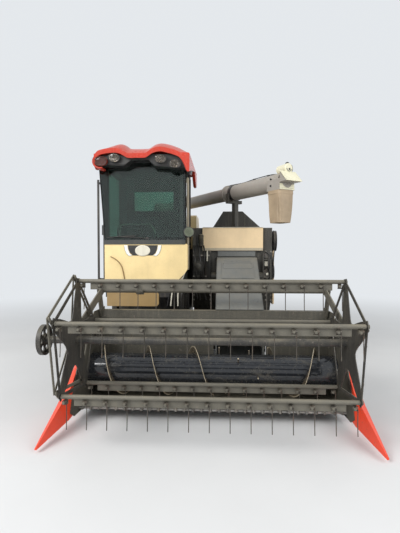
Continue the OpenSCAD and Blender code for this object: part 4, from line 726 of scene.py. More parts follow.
class HARVESTER_OT_roof(bpy.types.Operator):
    """Moulds the red roof with its two brows, its skirts and its cheek behind the left window"""
    bl_idname = "harvester.roof"
    bl_label = "Roof"

    def execute(self, context):
        bm = bmesh.new()
        columns, rows = 96, 64
        mid = Vector(((ROOF_LOW[0] + ROOF_HIGH[0]) / 2, (ROOF_LOW[1] + ROOF_HIGH[1]) / 2))
        half = Vector(((ROOF_HIGH[0] - ROOF_LOW[0]) / 2, (ROOF_HIGH[1] - ROOF_LOW[1]) / 2))
        roundness = 0.02

        def footprint(i, j):
            u, v = 2 * i / columns - 1, 2 * j / rows - 1
            return (mid[0] + half[0] * u * math.sqrt(1 - roundness * v ** 6 * u * u),
                    mid[1] + half[1] * v * math.sqrt(1 - roundness * u ** 6 * v * v))

        grid = [[bm.verts.new((*footprint(i, j), roof_height(*footprint(i, j)))) for j in range(rows + 1)]
                for i in range(columns + 1)]
        for i in range(columns):
            for j in range(rows):
                bm.faces.new((grid[i][j], grid[i + 1][j], grid[i + 1][j + 1], grid[i][j + 1]))
        rim = ([(grid[i][0], "front") for i in range(columns)] + [(grid[columns][j], "left") for j in range(rows)]
               + [(grid[i][rows], "rear") for i in range(columns, 0, -1)]
               + [(grid[0][j], "right") for j in range(rows, 0, -1)])

        def foot(vert, side):
            if side == "front":
                return curve_through(ROOF_LIP, vert.co.x - CAB_XC)
            if side == "rear":
                return 0.001
            return curve_through(ROOF_SKIRT_LEFT if side == "left" else ROOF_SKIRT_RIGHT, vert.co.y - ROOF_LOW[1])

        loops = [[vert for vert, _ in rim]]
        for inward, lift in ((0.002, 0.012), (0.006, 0.0), (0.020, 0.003), (0.026, 0.016)):
            ring = []
            for vert, side in rim:
                away = Vector((mid[0] - vert.co.x, mid[1] - vert.co.y, 0)).normalized() * inward
                ring.append(bm.verts.new((vert.co.x + away.x, vert.co.y + away.y, EAVES_Z + foot(vert, side) + lift)))
            loops.append(ring)
        # Underside that closes the shell above the lamps and the cab
        over_lamps = CAB_Y0 + CAB_RAKE + 0.02
        loops.append([bm.verts.new((mid[0] + (v.co.x - mid[0]) * 0.93, mid[1] + (v.co.y - mid[1]) * 0.93,
                                    max(v.co.z, EAVES_Z + (0.036 if v.co.y < over_lamps else 0.004))))
                      for v in loops[-1]])
        count = len(rim)
        for upper, lower in zip(loops, loops[1:]):
            for k in range(count):
                bm.faces.new((upper[(k + 1) % count], upper[k], lower[k], lower[(k + 1) % count]))
        bm.faces.new(loops[-1])
        # Cheek behind the left window
        # Columns: along from the cab's rear, height over the eaves
        curve = ((-0.33, 0.004), (-0.22, -0.10), (-0.09, -0.165), (-0.05, -0.172), (0.04, -0.168), (0.07, -0.14))
        outline = [(CAB_Y1 + y, EAVES_Z + z) for y, z in curve]
        outline.append((ROOF_HIGH[1] - 0.012, EAVES_Z + 0.004))
        cheek = bmesh.new()
        add_plate(cheek, outline, 0.040, facing_left(ROOF_HIGH[0] - 0.044, 0, 0))
        round_edges(cheek, 0.008, 3)
        add_part(bm, cheek)
        # Pod round the outer lamp on the right
        pod = bmesh.new()
        across, height = LAMPS[0]
        centre = Vector((CAB_XC + across, 0, EAVES_Z + height))
        rings = []
        # Columns: off the lamp's edge, behind the roof's front
        section = ((0.008, 0.012), (0.020, 0.006), (0.026, 0.016), (0.024, 0.16), (0.006, 0.16))
        for k in range(25):
            turn = math.radians(112 + k * 7.2)
            rings.append([pod.verts.new((centre.x + (LAMP_HALF[0] + off) * math.cos(turn), ROOF_LOW[1] + behind,
                                         centre.z + (LAMP_HALF[1] + 0.012 + off) * math.sin(turn)))
                          for off, behind in section])
        for one, two in zip(rings, rings[1:]):
            for k in range(5):
                pod.faces.new((one[k], one[(k + 1) % 5], two[(k + 1) % 5], two[k]))
        pod.faces.new(list(reversed(rings[0])))
        pod.faces.new(rings[-1])
        add_part(bm, pod)
        finished_object("roof_skin", bm, FINISH["red"], "chassis", replaces=("cab_roof",),
                        outward=True)
        return {"FINISHED"}


# Columns: across from the cab's middle, height over the eaves
LAMPS = ((-0.466, -0.050), (-0.310, -0.012), (0.226, -0.028), (0.390, -0.088))
LAMP_HALF = (0.071, 0.049)
LAMP_FACE_Y = CAB_Y0 + CAB_RAKE - 0.190


class HARVESTER_OT_lamps(bpy.types.Operator):
    """Black brow under the roof with its four oval lamps"""
    bl_idname = "harvester.lamps"
    bl_label = "Roof lamps"

    def execute(self, context):
        brow = bmesh.new()
        front, back = CAB_Y0 + CAB_RAKE - 0.16, CAB_Y0 + CAB_RAKE - 0.006
        outline = [(ROOF_LOW[0] + 0.045, 0.030), (ROOF_LOW[0] + 0.045, -0.085),
                   (CAB_XC - 0.19, -0.092), (CAB_XC - 0.12, -0.024), (CAB_XC + 0.09, -0.024), (CAB_XC + 0.14, -0.098),
                   (ROOF_HIGH[0] - 0.05, -0.130), (ROOF_HIGH[0] - 0.045, 0.010), (CAB_XC + 0.30, 0.030)]
        add_plate(brow, outline, back - front,
                  Matrix(((1, 0, 0, 0), (0, 0, 1, front), (0, 1, 0, EAVES_Z), (0, 0, 0, 1))))
        round_edges(brow, 0.010, 3)
        parts = {"mirror": bmesh.new(), "lens": bmesh.new(), "rim": bmesh.new()}
        # Columns: piece and its profile of (distance forwards, share of the lamp's half size)
        profiles = {
            "body": ((-0.06, 0.80), (0.0, 1.0), (0.012, 1.02), (0.016, 0.97), (0.014, 0.90), (0.002, 0.88)),
            "mirror": ((0.003, 0.88), (-0.004, 0.72), (-0.018, 0.40), (-0.024, 0.18), (-0.012, 0.16), (-0.010, 0.0)),
            "lens": ((0.004, 0.0), (0.006, 0.89), (0.012, 0.895), (0.017, 0.60), (0.020, 0.28), (0.021, 0.0)),
            "rim": ((0.010, 1.02), (0.016, 1.08), (0.010, 1.13), (-0.02, 1.13), (-0.02, 1.02)),
        }
        for name, profile in profiles.items():
            for across, height in LAMPS[:1] if name == "rim" else LAMPS:
                oval = bmesh.new()
                add_lathe(oval, (0, 0, 0), (0, -1, 0), profile, 40)
                place = Matrix.Translation((CAB_XC + across, LAMP_FACE_Y, EAVES_Z + height))
                place = place @ Matrix.Rotation(0.16, 4, "X")
                shape = Matrix.Diagonal((LAMP_HALF[0], 1, LAMP_HALF[1], 1))
                bmesh.ops.transform(oval, matrix=place @ shape, verts=oval.verts)
                add_part(brow if name == "body" else parts[name], oval)
        # Flutes of the lenses
        for across, height in LAMPS:
            for k in range(-3, 4):
                reach = 0.85 * math.sqrt(1 - (k / 4.2) ** 2)
                x = CAB_XC + across + k / 4.2 * LAMP_HALF[0] * 0.88
                y = LAMP_FACE_Y - 0.0155 - 0.006 * (1 - abs(k) / 4)
                flute = [Vector((x, y, EAVES_Z + height + t * reach * LAMP_HALF[1])) for t in (-1, -0.5, 0, 0.5, 1)]
                add_tube(parts["lens"], flute, 0.0016, 5)
        finished_object("lamp_brow", brow, FINISH["plastic"], "chassis",
                        replaces=("roof_lamps",), outward=True)
        for name, part, finish in (("lamp_rims", "rim", "red_dark"), ("lamp_reflectors", "mirror", "reflector"),
                                   ("lamp_lenses", "lens", "lens")):
            finished_object(name, parts[part], FINISH[finish], "chassis", outward=True)
        return {"FINISHED"}


def screen_y(z):
    """Front of the raked windscreen at a height"""
    return CAB_Y0 + CAB_RAKE * (z - SILL_Z) / (EAVES_Z - SILL_Z)


class HARVESTER_OT_cab_trim(bpy.types.Operator):
    """Gaskets, wiper and sill bar of the cab"""
    bl_idname = "harvester.cab_trim"
    bl_label = "Cab trim"

    def execute(self, context):
        gasket = bmesh.new()
        y0, y1, z0, z1 = CAB_Y0 + 0.14, CAB_Y1 - 0.08, SILL_Z - 0.06, EAVES_Z - 0.07
        side = ((y0, z0), (y1, z0), (y1, z1), (y0, z1), (y0, z0), (y0 + 0.02, z0))
        add_tube(gasket, [Vector((CAB_X1 + 0.001, y, z)) for y, z in side], 0.008, 8, caps=False)
        x0, x1, z0, z1 = CAB_X0 + 0.14, CAB_X1 - 0.14, 1.98, 2.47
        rear = ((x0, z0), (x1, z0), (x1, z1), (x0, z1), (x0, z0), (x0 + 0.02, z0))
        add_tube(gasket, [Vector((x, CAB_Y1 + 0.001, z)) for x, z in rear], 0.008, 8, caps=False)
        finished_object("window_gaskets", gasket, FINISH["belt"], "chassis")

        wiper = bmesh.new()
        pivot = Vector((CAB_XC + 0.05, screen_y(SILL_Z + 0.02) - 0.018, SILL_Z + 0.030))
        add_lathe(wiper, pivot + Vector((0, 0.012, 0)), (0, -1, 0),
                  [(0, 0.018), (0.016, 0.018), (0.022, 0.010), (0.022, 0)], 20)
        tip = Vector((CAB_XC - 0.26, screen_y(SILL_Z + 0.05) - 0.032, SILL_Z + 0.050))
        add_tube(wiper, [pivot, (pivot + tip) / 2 + Vector((0, -0.006, 0.004)), tip], 0.005, 8)
        outer = Vector((CAB_XC - 0.43, screen_y(SILL_Z + 0.04) - 0.025, SILL_Z + 0.042))
        inner = Vector((CAB_XC - 0.09, screen_y(SILL_Z + 0.06) - 0.025, SILL_Z + 0.062))
        add_tube(wiper, [outer, (outer + inner) / 2 + Vector((0, -0.006, 0)), inner], 0.006, 6)
        finished_object("windscreen_wiper", wiper, FINISH["plastic"], "chassis")

        sill = bmesh.new()
        add_box(sill, (CAB_X0 + 0.016, CAB_Y0 - 0.046, SILL_Z - 0.047),
                (SCREEN_RIGHT + 0.004, CAB_Y0 - 0.0005, SILL_Z + 0.014), 0.008)
        finished_object("cab_sill_bar", sill, FINISH["charcoal"], "chassis")
        return {"FINISHED"}


SCREEN_RIGHT = -0.284
# Columns: x and z of the bonded windscreen's corners
SCREEN = ((-1.238, 1.652), (SCREEN_RIGHT, 1.652), (SCREEN_RIGHT - 0.003, 2.566), (-1.322, 2.566))


def raked(x, z, off):
    """Point on the raked front of the cab, off metres before it"""
    return Vector((x, CAB_Y0 + CAB_RAKE * (z - SILL_Z) / (EAVES_Z - SILL_Z) - off, z))


def add_raked_ring(bm, outer, inner, front, back):
    """Closed flat frame between two outlines on the cab's raked front"""
    rings = [[bm.verts.new(raked(x, z, off)) for x, z in outline]
             for outline, off in ((outer, front), (inner, front), (inner, back), (outer, back))]
    count = len(outer)
    for one, two in zip(rings, rings[1:] + rings[:1]):
        for k in range(count):
            bm.faces.new((one[k], one[(k + 1) % count], two[(k + 1) % count], two[k]))


class HARVESTER_OT_windscreen(bpy.types.Operator):
    """Bonded windscreen with its black border, the beige pillar strip, and the near-black sheets inside the cab
    behind it, whose darkness is painted shade
    """
    bl_idname = "harvester.windscreen"
    bl_label = "Windscreen"

    def execute(self, context):
        pane = bmesh.new()
        low = [pane.verts.new(raked(x, z, 0.016)) for x, z in SCREEN]
        high = [pane.verts.new(raked(x, z, 0.011)) for x, z in SCREEN]
        pane.faces.new(low)
        pane.faces.new(list(reversed(high)))
        for k in range(4):
            pane.faces.new((low[(k + 1) % 4], low[k], high[k], high[(k + 1) % 4]))
        finished_object("bonded_windscreen", pane, FINISH["screen"], "chassis", smooth=False, outward=True)

        border = bmesh.new()
        (x0, z0), (x1, _), (x2, z2), (x3, _) = SCREEN
        inner = ((x0 + 0.052, z0 + 0.030), (x1 - 0.030, z0 + 0.030), (x2 - 0.030, z2 - 0.075),
                 (x3 + 0.105, z2 - 0.075))
        add_raked_ring(border, SCREEN, inner, 0.0105, 0.003)
        # Black mouldings on the two upright edges
        for a, b in ((SCREEN[0], SCREEN[3]), (SCREEN[1], SCREEN[2])):
            add_tube(border, [raked(a[0], a[1], 0.012), raked(b[0], b[1], 0.012)], 0.0065, 8)
        finished_object("windscreen_border", border, FINISH["lining_black_and_painted_shade"], "chassis", smooth=False, outward=True)

        strip = bmesh.new()
        add_box(strip, (SCREEN_RIGHT + 0.004, CAB_Y0 + 0.10, FLOOR_Z + 0.14),
                (SCREEN_RIGHT + 0.028, CAB_Y0 + 0.15, EAVES_Z - 0.20), 0.004)
        add_box(strip, (CAB_X1 + 0.0005, CAB_Y0 + 0.11, FLOOR_Z + 0.20),
                (SCREEN_RIGHT + 0.005, CAB_Y0 + 0.14, FLOOR_Z + 0.24))
        add_box(strip, (CAB_X1 + 0.0005, CAB_Y0 + 0.11, EAVES_Z - 0.26),
                (SCREEN_RIGHT + 0.005, CAB_Y0 + 0.14, EAVES_Z - 0.22))
        finished_object("pillar_strip", strip, FINISH["beige"], "chassis")

        # Painted shade: near-black sheets over the inside of the cab's rear wall, roof and side walls, darker than
        # the charcoal shell, stand in for the shade inside the cab
        lining_black_and_painted_shade = bmesh.new()
        back = CAB_Y1 - 0.0365
        for low_corner, high_corner in (((CAB_X0 + 0.037, 1.75), (CAB_X1 - 0.037, 2.105)),
                                        ((CAB_X0 + 0.037, 2.372), (CAB_X1 - 0.037, 2.56)),
                                        ((-0.549, 2.105), (CAB_X1 - 0.037, 2.372)),
                                        ((CAB_X0 + 0.037, 2.105), (-1.142, 2.372))):
            add_box(lining_black_and_painted_shade, (low_corner[0], back - 0.012, low_corner[1]), (high_corner[0], back, high_corner[1]),
                    0.002)
        # Headlining and trim of the two side walls
        add_box(lining_black_and_painted_shade, (CAB_X0 + 0.037, CAB_Y0 + 0.13, EAVES_Z - 0.055),
                (CAB_X1 - 0.037, CAB_Y1 - 0.05, EAVES_Z - 0.037), 0.003)
        add_box(lining_black_and_painted_shade, (CAB_X1 - 0.044, CAB_Y0 + 0.09, SILL_Z - 0.35),
                (CAB_X1 - 0.037, CAB_Y1 - 0.05, EAVES_Z - 0.06), 0.002)
        add_box(lining_black_and_painted_shade, (CAB_X0 + 0.037, CAB_Y0 + 0.58, SILL_Z - 0.35),
                (CAB_X0 + 0.044, CAB_Y1 - 0.06, EAVES_Z - 0.06), 0.002)
        finished_object("cab_lining_black_and_painted_shade", lining_black_and_painted_shade, FINISH["lining_black_and_painted_shade"], "chassis")

        rail = bmesh.new()
        y = CAB_Y0 + 0.136
        corners = [(-1.105, y, 1.60), (-1.100, y, 1.74), (-1.085, y, 1.825), (-1.055, y, 1.846), (-0.90, y, 1.848),
                   (-0.745, y, 1.846), (-0.712, y, 1.832), (-0.660, y, 1.75), (-0.628, y, 1.68), (-0.610, y, 1.60)]
        add_tube(rail, smooth_path(corners, 6), 0.0105, 10)
        finished_object("dash_rail", rail, FINISH["pale"], "chassis")
        return {"FINISHED"}


class HARVESTER_OT_front_panel(bpy.types.Operator):
    """Cream panel under the windscreen, with its plain badge, its seams, a plate below it in a darker cream that is
    painted shade, and a thin brown tube over it that is a painted shadow line
    """
    bl_idname = "harvester.front_panel"
    bl_label = "Cab's front panel"

    def execute(self, context):
        panel = bmesh.new()
        front = CAB_Y0 - 0.0345
        right = SCREEN_RIGHT + 0.024
        shape = [(CAB_X0 + 0.022, FLOOR_Z - 0.102), (-0.545, FLOOR_Z - 0.102), (-0.370, FLOOR_Z + 0.020),
                 (-0.285, FLOOR_Z + 0.110), (right, FLOOR_Z + 0.150), (right, SILL_Z - 0.042),
                 (right - 0.008, SILL_Z - 0.034), (CAB_X0 + 0.030, SILL_Z - 0.034), (CAB_X0 + 0.022, SILL_Z - 0.042)]
        add_plate(panel, shape, 0.004, facing_front(0, front, 0))
        round_edges(panel, 0.0015)
        # Returned edge on the left
        add_box(panel, (right - 0.006, front - 0.003, FLOOR_Z + 0.16), (right, CAB_Y0 + 0.06, SILL_Z - 0.045), 0.002)
        finished_object("cab_front_panel", panel, FINISH["cream"], "chassis")

        # Painted shade: plate under the cream panel in a darker, more orange cream, standing in for the shade below
        # the cab floor
        lower = bmesh.new()
        shape = [(CAB_X0 + 0.040, 0.872), (-0.625, 0.872), (-0.600, 0.900), (-0.600, 1.020), (-0.612, 1.032),
                 (CAB_X0 + 0.040, 1.032)]
        add_plate(lower, shape, 0.004, facing_front(0, CAB_Y0 - 0.012, 0))
        round_edges(lower, 0.0015)
        finished_object("cab_lower_panel_painted_shade", lower, FINISH["tan"], "chassis")

        pipes = {"hose": bmesh.new(), "pale": bmesh.new()}
        # Rows: finish, then x and z of each pipe's points beside the lower panel
        for name, path in (("hose", ((-0.36, 1.25), (-0.42, 1.15), (-0.47, 1.02), (-0.50, 0.88))),
                           ("pale", ((-0.33, 1.26), (-0.40, 1.16), (-0.44, 1.04), (-0.46, 0.88))),
                           ("hose", ((-0.30, 1.28), (-0.36, 1.18), (-0.41, 1.05), (-0.42, 0.88))),
                           ("pale", ((-0.28, 1.30), (-0.33, 1.18), (-0.37, 1.04), (-0.375, 0.88))),
                           ("hose", ((-0.27, 1.20), (-0.30, 1.10), (-0.33, 1.00), (-0.335, 0.88)))):
            places = [(x, CAB_Y0 - 0.030 + 0.012 * (k % 2), z) for k, (x, z) in enumerate(path)]
            add_tube(pipes[name], smooth_path(places, 6), 0.0075, 8)
        for name, bm in pipes.items():
            finished_object("cab_foot_pipes_" + name, bm, FINISH[name], "chassis")

        def upright(off):
            return facing_front(CAB_XC, front - off, SILL_Z - 0.049)

        field = bmesh.new()
        add_plate(field,
                  [(-0.176, 0.0), (-0.168, -0.050), (-0.150, -0.092), (-0.118, -0.120), (0.118, -0.120),
                   (0.150, -0.092),
                          (0.168, -0.050), (0.176, 0.0)], 0.003, upright(0.0043))
        finished_object("badge_field", field, FINISH["plastic"], "chassis", smooth=False, outward=True)
        wings = bmesh.new()
        for side in (-1, 1):
            shape = [(side * x, z)
                     for x, z in ((0.182, 0.0), (0.174, -0.051), (0.155, -0.095), (0.124, -0.122), (0.165, -0.126),
                                                (0.193, -0.098), (0.212, -0.055), (0.222, 0.0))]
            add_plate(wings, shape if side > 0 else shape[::-1], 0.003, upright(0.0043))
        finished_object("badge_wings", wings, FINISH["white"], "chassis", smooth=False, outward=True)
        badge = bmesh.new()
        add_lathe(badge, (0, 0, 0), (0, -1, 0),
                  [(0, 1.0), (0.005, 1.0), (0.008, 0.93), (0.008, 0.80), (0.0055, 0.77), (0.0065, 0.0)], 48)
        oval = Matrix.Translation((CAB_XC, front - 0.0075, SILL_Z - 0.112)) @ Matrix.Diagonal((0.089, 1, 0.064, 1))
        bmesh.ops.transform(badge, matrix=oval, verts=badge.verts)
        finished_object("badge_plate", badge, FINISH["pale"], "chassis", outward=True)
        outline = bmesh.new()
        for side in (-1, 1):
            edge = [Vector((CAB_XC + side * x, front - 0.0065, SILL_Z - 0.049 + z))
                    for x, z in ((0.222, -0.002), (0.212, -0.055), (0.193, -0.098), (0.165, -0.126), (0.124, -0.123))]
            add_tube(outline, edge, 0.0022, 6)
        finished_object("badge_outline", outline, FINISH["mirror"], "chassis")

        # Painted shadow: a thin brown tube drawn along a shadow line that falls across the cream panel
        hose = bmesh.new()
        y = front - 0.011
        add_tube(hose,
                 smooth_path([(-1.165, y, 1.458), (-1.12, y, 1.435), (-1.075, y, 1.40), (-1.035, y, 1.345),
                              (-1.015, y, 1.27),
                                    (-1.00, y, 1.185), (-0.99, y + 0.004, 1.10)], 6), 0.0055, 8)
        finished_object("panel_painted_shadow_line", hose, FINISH["painted_shadow_brown"], "chassis")
        return {"FINISHED"}


def add_cushion(bm, centre, half, square=0.28, channels=0, crown=0.0):
    """Crowned closed cushion with tight corners and sewn channels across it"""
    around, up = 96, 40

    def bent(value, power):
        return math.copysign(abs(value) ** power, value)

    rings = []
    for j in range(up + 1):
        v = -math.pi / 2 + math.pi * j / up
        ring = []
        for i in range(around):
            u = 2 * math.pi * i / around
            x = bent(math.cos(v), square) * bent(math.cos(u), square)
            y = bent(math.cos(v), square) * bent(math.sin(u), square)
            z = bent(math.sin(v), square * 1.6)
            swell = 1 + crown * (1 - x * x) * (1 - y * y)
            groove = 1.0
            if channels and z > 0:
                groove = 1 - 0.10 * max(0.0, math.cos(channels * math.pi * y)) ** 24
            pull = 1 - 0.035 * (1 - z * z) * (1 - abs(x * y))
            ring.append(bm.verts.new((centre[0] + half[0] * x * pull, centre[1] + half[1] * y * pull,
                                      centre[2] + half[2] * z * swell * groove)))
        rings.append(ring)
    for lower, upper in zip(rings, rings[1:]):
        for i in range(around):
            bm.faces.new((lower[i], lower[(i + 1) % around], upper[(i + 1) % around], upper[i]))
    bm.faces.new(list(reversed(rings[0])))
    bm.faces.new(rings[-1])


class HARVESTER_OT_driver_seat(bpy.types.Operator):
    """Padded seat cushion and backrest"""
    bl_idname = "harvester.driver_seat"
    bl_label = "Driver's seat"

    def execute(self, context):
        bm = bmesh.new()
        add_cushion(bm, (CAB_XC, 0.055, FLOOR_Z + 0.350), (0.222, 0.222, 0.046), channels=3, crown=0.12)
        back = bmesh.new()
        add_cushion(back, (0, 0, 0), (0.212, 0.255, 0.042), channels=3, crown=0.15)
        lean = Matrix.Translation((CAB_XC, 0.262, FLOOR_Z + 0.640)) @ Matrix.Rotation(math.radians(80.5), 4, "X")
        bmesh.ops.transform(back, matrix=lean, verts=back.verts)
        add_part(bm, back)
        piece = finished_object("seat_cushions", bm, FINISH["cloth"], "chassis",
                                replaces=("seat",))
        return {"FINISHED"}


def bar_place(index):
    """Along and up of a tine bar's middle line at rest"""
    angle = math.radians(BAR_TURN + index * 360 / BAR_COUNT)
    return REEL_Y - REEL_R * math.cos(angle), REEL_Z + REEL_R * math.sin(angle)


def reel_at(angle, distance):
    """Along and up of a point at an angle in degrees and a distance from the reel's shaft"""
    return REEL_Y - distance * math.cos(math.radians(angle)), REEL_Z + distance * math.sin(math.radians(angle))


TINE_COUNT = 15
BAR_RADIUS = 0.017
BAR_HALF = REEL_HALF - 0.007
RING_SHIFT = (-0.045, 0.040)


class HARVESTER_OT_tine_bars(bpy.types.Operator):
    """Round bars with their clamps, wound spring tines and end links"""
    bl_idname = "harvester.tine_bars"
    bl_label = "Tine bars"

    def execute(self, context):
        sizes = context.scene.harvester_sizes
        places = [(k - (TINE_COUNT - 1) / 2) * sizes.tine_pitch * 1.04 for k in range(TINE_COUNT)]
        tree = RepeatTree("spring_tines")
        wire = tree.value("Wire radius", sizes.wire)
        drop = tree.value("Tine length", 0.230)
        bend = tree.value("Forward bend", -0.034)
        profile = tree.node("GeometryNodeCurvePrimitiveCircle", {"Resolution": 7, "Radius": wire})
        coil = tree.node("GeometryNodeCurveSpiral", {"Resolution": 14, "Rotations": 3.5, "Start Radius": 0.0155,
                                                     "End Radius": 0.0155, "Height": 0.032})
        coil = tree.node("GeometryNodeCurveToMesh", {0: coil, 1: profile})
        coil.node.inputs["Fill Caps"].default_value = True
        coil = tree.node("GeometryNodeTransform", {"Geometry": coil, "Translation": (-0.018, -0.013, -0.037),
                                                   "Rotation": (0, math.pi / 2, 0)})
        low = tree.node("ShaderNodeMath", {0: drop, 1: -1.0}, operation="MULTIPLY")
        end = tree.node("ShaderNodeCombineXYZ", {"X": 0.014, "Y": bend, "Z": low})
        leg = tree.node("GeometryNodeCurveQuadraticBezier", {"Resolution": 12, "Start": (0.014, -0.0285, -0.037),
                                                             "Middle": (0.014, -0.018, -0.130), "End": end})
        leg = tree.node("GeometryNodeCurveToMesh", {0: leg, 1: profile})
        leg.node.inputs["Fill Caps"].default_value = True
        both = tree.tree.nodes.new("GeometryNodeJoinGeometry")
        tree.tree.links.new(coil, both.inputs[0])
        tree.tree.links.new(leg, both.inputs[0])
        tree.close(tree.on_points(both.outputs[0]), FINISH["wire"])
        for index in range(BAR_COUNT):
            y, z = bar_place(index)
            body = f"tine_bar_{index + 1}"
            spots = [(Vector((HEAD_X + x, y, z)), (0, 0, 1)) for x in places]
            tree.apply(f"{body}_springs", aimed_points(body + "_spots", spots), body, FINISH["wire"])
            bm = bmesh.new()
            # Right pin, the bar, and the left pin with its nut
            shaft = [(-REEL_HALF - 0.015, 0.0), (-REEL_HALF - 0.015, 0.009), (-BAR_HALF, 0.009),
                     (-BAR_HALF, BAR_RADIUS), (BAR_HALF, BAR_RADIUS), (BAR_HALF, 0.009), (REEL_HALF + 0.006, 0.009),
                     (REEL_HALF + 0.006, 0.016), (REEL_HALF + 0.016, 0.016), (REEL_HALF + 0.018, 0.012),
                     (REEL_HALF + 0.018, 0.0)]
            add_lathe(bm, (HEAD_X, y, z), (1, 0, 0), shaft, 24)
            # Bolt and washer that hold one coil to the flat
            bolt = [(0, 0.0), (0, 0.0085), (0.036, 0.0085), (0.036, 0.011), (0.039, 0.011), (0.039, 0.007),
                    (0.044, 0.007), (0.044, 0.0)]
            for x in places:
                add_lathe(bm, (HEAD_X + x - 0.006, y + 0.0055, z - 0.036), (0, -1, 0), bolt, 12)
            for x in (places[0], places[-1]):
                # Short strap that carries an outer coil beyond the flat
                add_box(bm, (HEAD_X + x - 0.014, y + 0.006, z - 0.056), (HEAD_X + x + 0.014, y + 0.011, z - 0.008),
                        0.0015)
            flat = BAR_HALF - 0.090
            add_box(bm, (HEAD_X - flat, y + 0.006, z - 0.070), (HEAD_X + flat, y + 0.011, z - 0.008), 0.0015)
            outline = stadium((0, 0), RING_SHIFT, 0.030)
            add_plate(bm, outline, 0.006, facing_left(HEAD_X - REEL_HALF - 0.018, y, z))
            add_lathe(bm, (HEAD_X, y + RING_SHIFT[0], z + RING_SHIFT[1]), (1, 0, 0),
                      [(-REEL_HALF - 0.033, 0.0), (-REEL_HALF - 0.033, 0.007), (-REEL_HALF - 0.032, 0.008),
                       (-REEL_HALF - 0.017, 0.008), (-REEL_HALF - 0.017, 0.0)], 16)
            finished_object(f"{body}_bar", bm, FINISH["reel"], body, replaces=(body,),
                            outward=True)
        return {"FINISHED"}


def stadium(a, b, width):
    """Outline of a flat link with round ends"""
    turn = math.atan2(b[1] - a[1], b[0] - a[0])
    return ([(a[0] + width / 2 * math.cos(turn + t), a[1] + width / 2 * math.sin(turn + t))
             for t in (math.pi / 2 + k * math.pi / 8 for k in range(9))]
            + [(b[0] + width / 2 * math.cos(turn + t), b[1] + width / 2 * math.sin(turn + t))
               for t in (-math.pi / 2 + k * math.pi / 8 for k in range(9))])


class HARVESTER_OT_reel_bolts(bpy.types.Operator):
    """Bolts of the star plates and rim bars"""
    bl_idname = "harvester.reel_bolts"
    bl_label = "Reel bolts"

    def execute(self, context):
        radius = context.scene.harvester_sizes.bolt
        spots = []
        for index in range(BAR_COUNT):
            angle = BAR_TURN + index * 360 / BAR_COUNT
            for distance in (0.30, 0.40):
                y, z = reel_at(angle, distance)
                spots += [(Vector((HEAD_X + s * (REEL_HALF + 0.0062), y, z)), (s, 0, 0)) for s in (1, -1)]
            for share in (0.25, 0.75):
                y0, z0 = reel_at(angle, REEL_R)
                y1, z1 = reel_at(angle + 360 / BAR_COUNT, REEL_R)
                place = Vector((HEAD_X + REEL_HALF + 0.0062, y0 + (y1 - y0) * share, z0 + (z1 - z0) * share))
                spots.append((place, (1, 0, 0)))
        bolt_rows("star_plate_bolts", spots, radius * 0.8, FINISH["bolt"], "reel")
        return {"FINISHED"}


def bent_wall(bm, outline, base, height):
    """Closed thin shell between two nested outlines, carried up from base by height"""
    outer, inner = outline
    rings = [[bm.verts.new((x, y, z)) for x, y in loop]
             for loop, z in ((outer, base), (outer, base + height), (inner, base + height), (inner, base))]
    count = len(outer)
    for one, two in zip(rings, rings[1:] + rings[:1]):
        for k in range(count):
            bm.faces.new((one[k], one[(k + 1) % count], two[(k + 1) % count], two[k]))


FRONT_Y = THRESHER_Y0 - 0.001
# Cream panel on the threshing unit's front
PANEL_X0, PANEL_X1, PANEL_Y, PANEL_Z0 = -0.110, 0.660, -0.170, 1.530


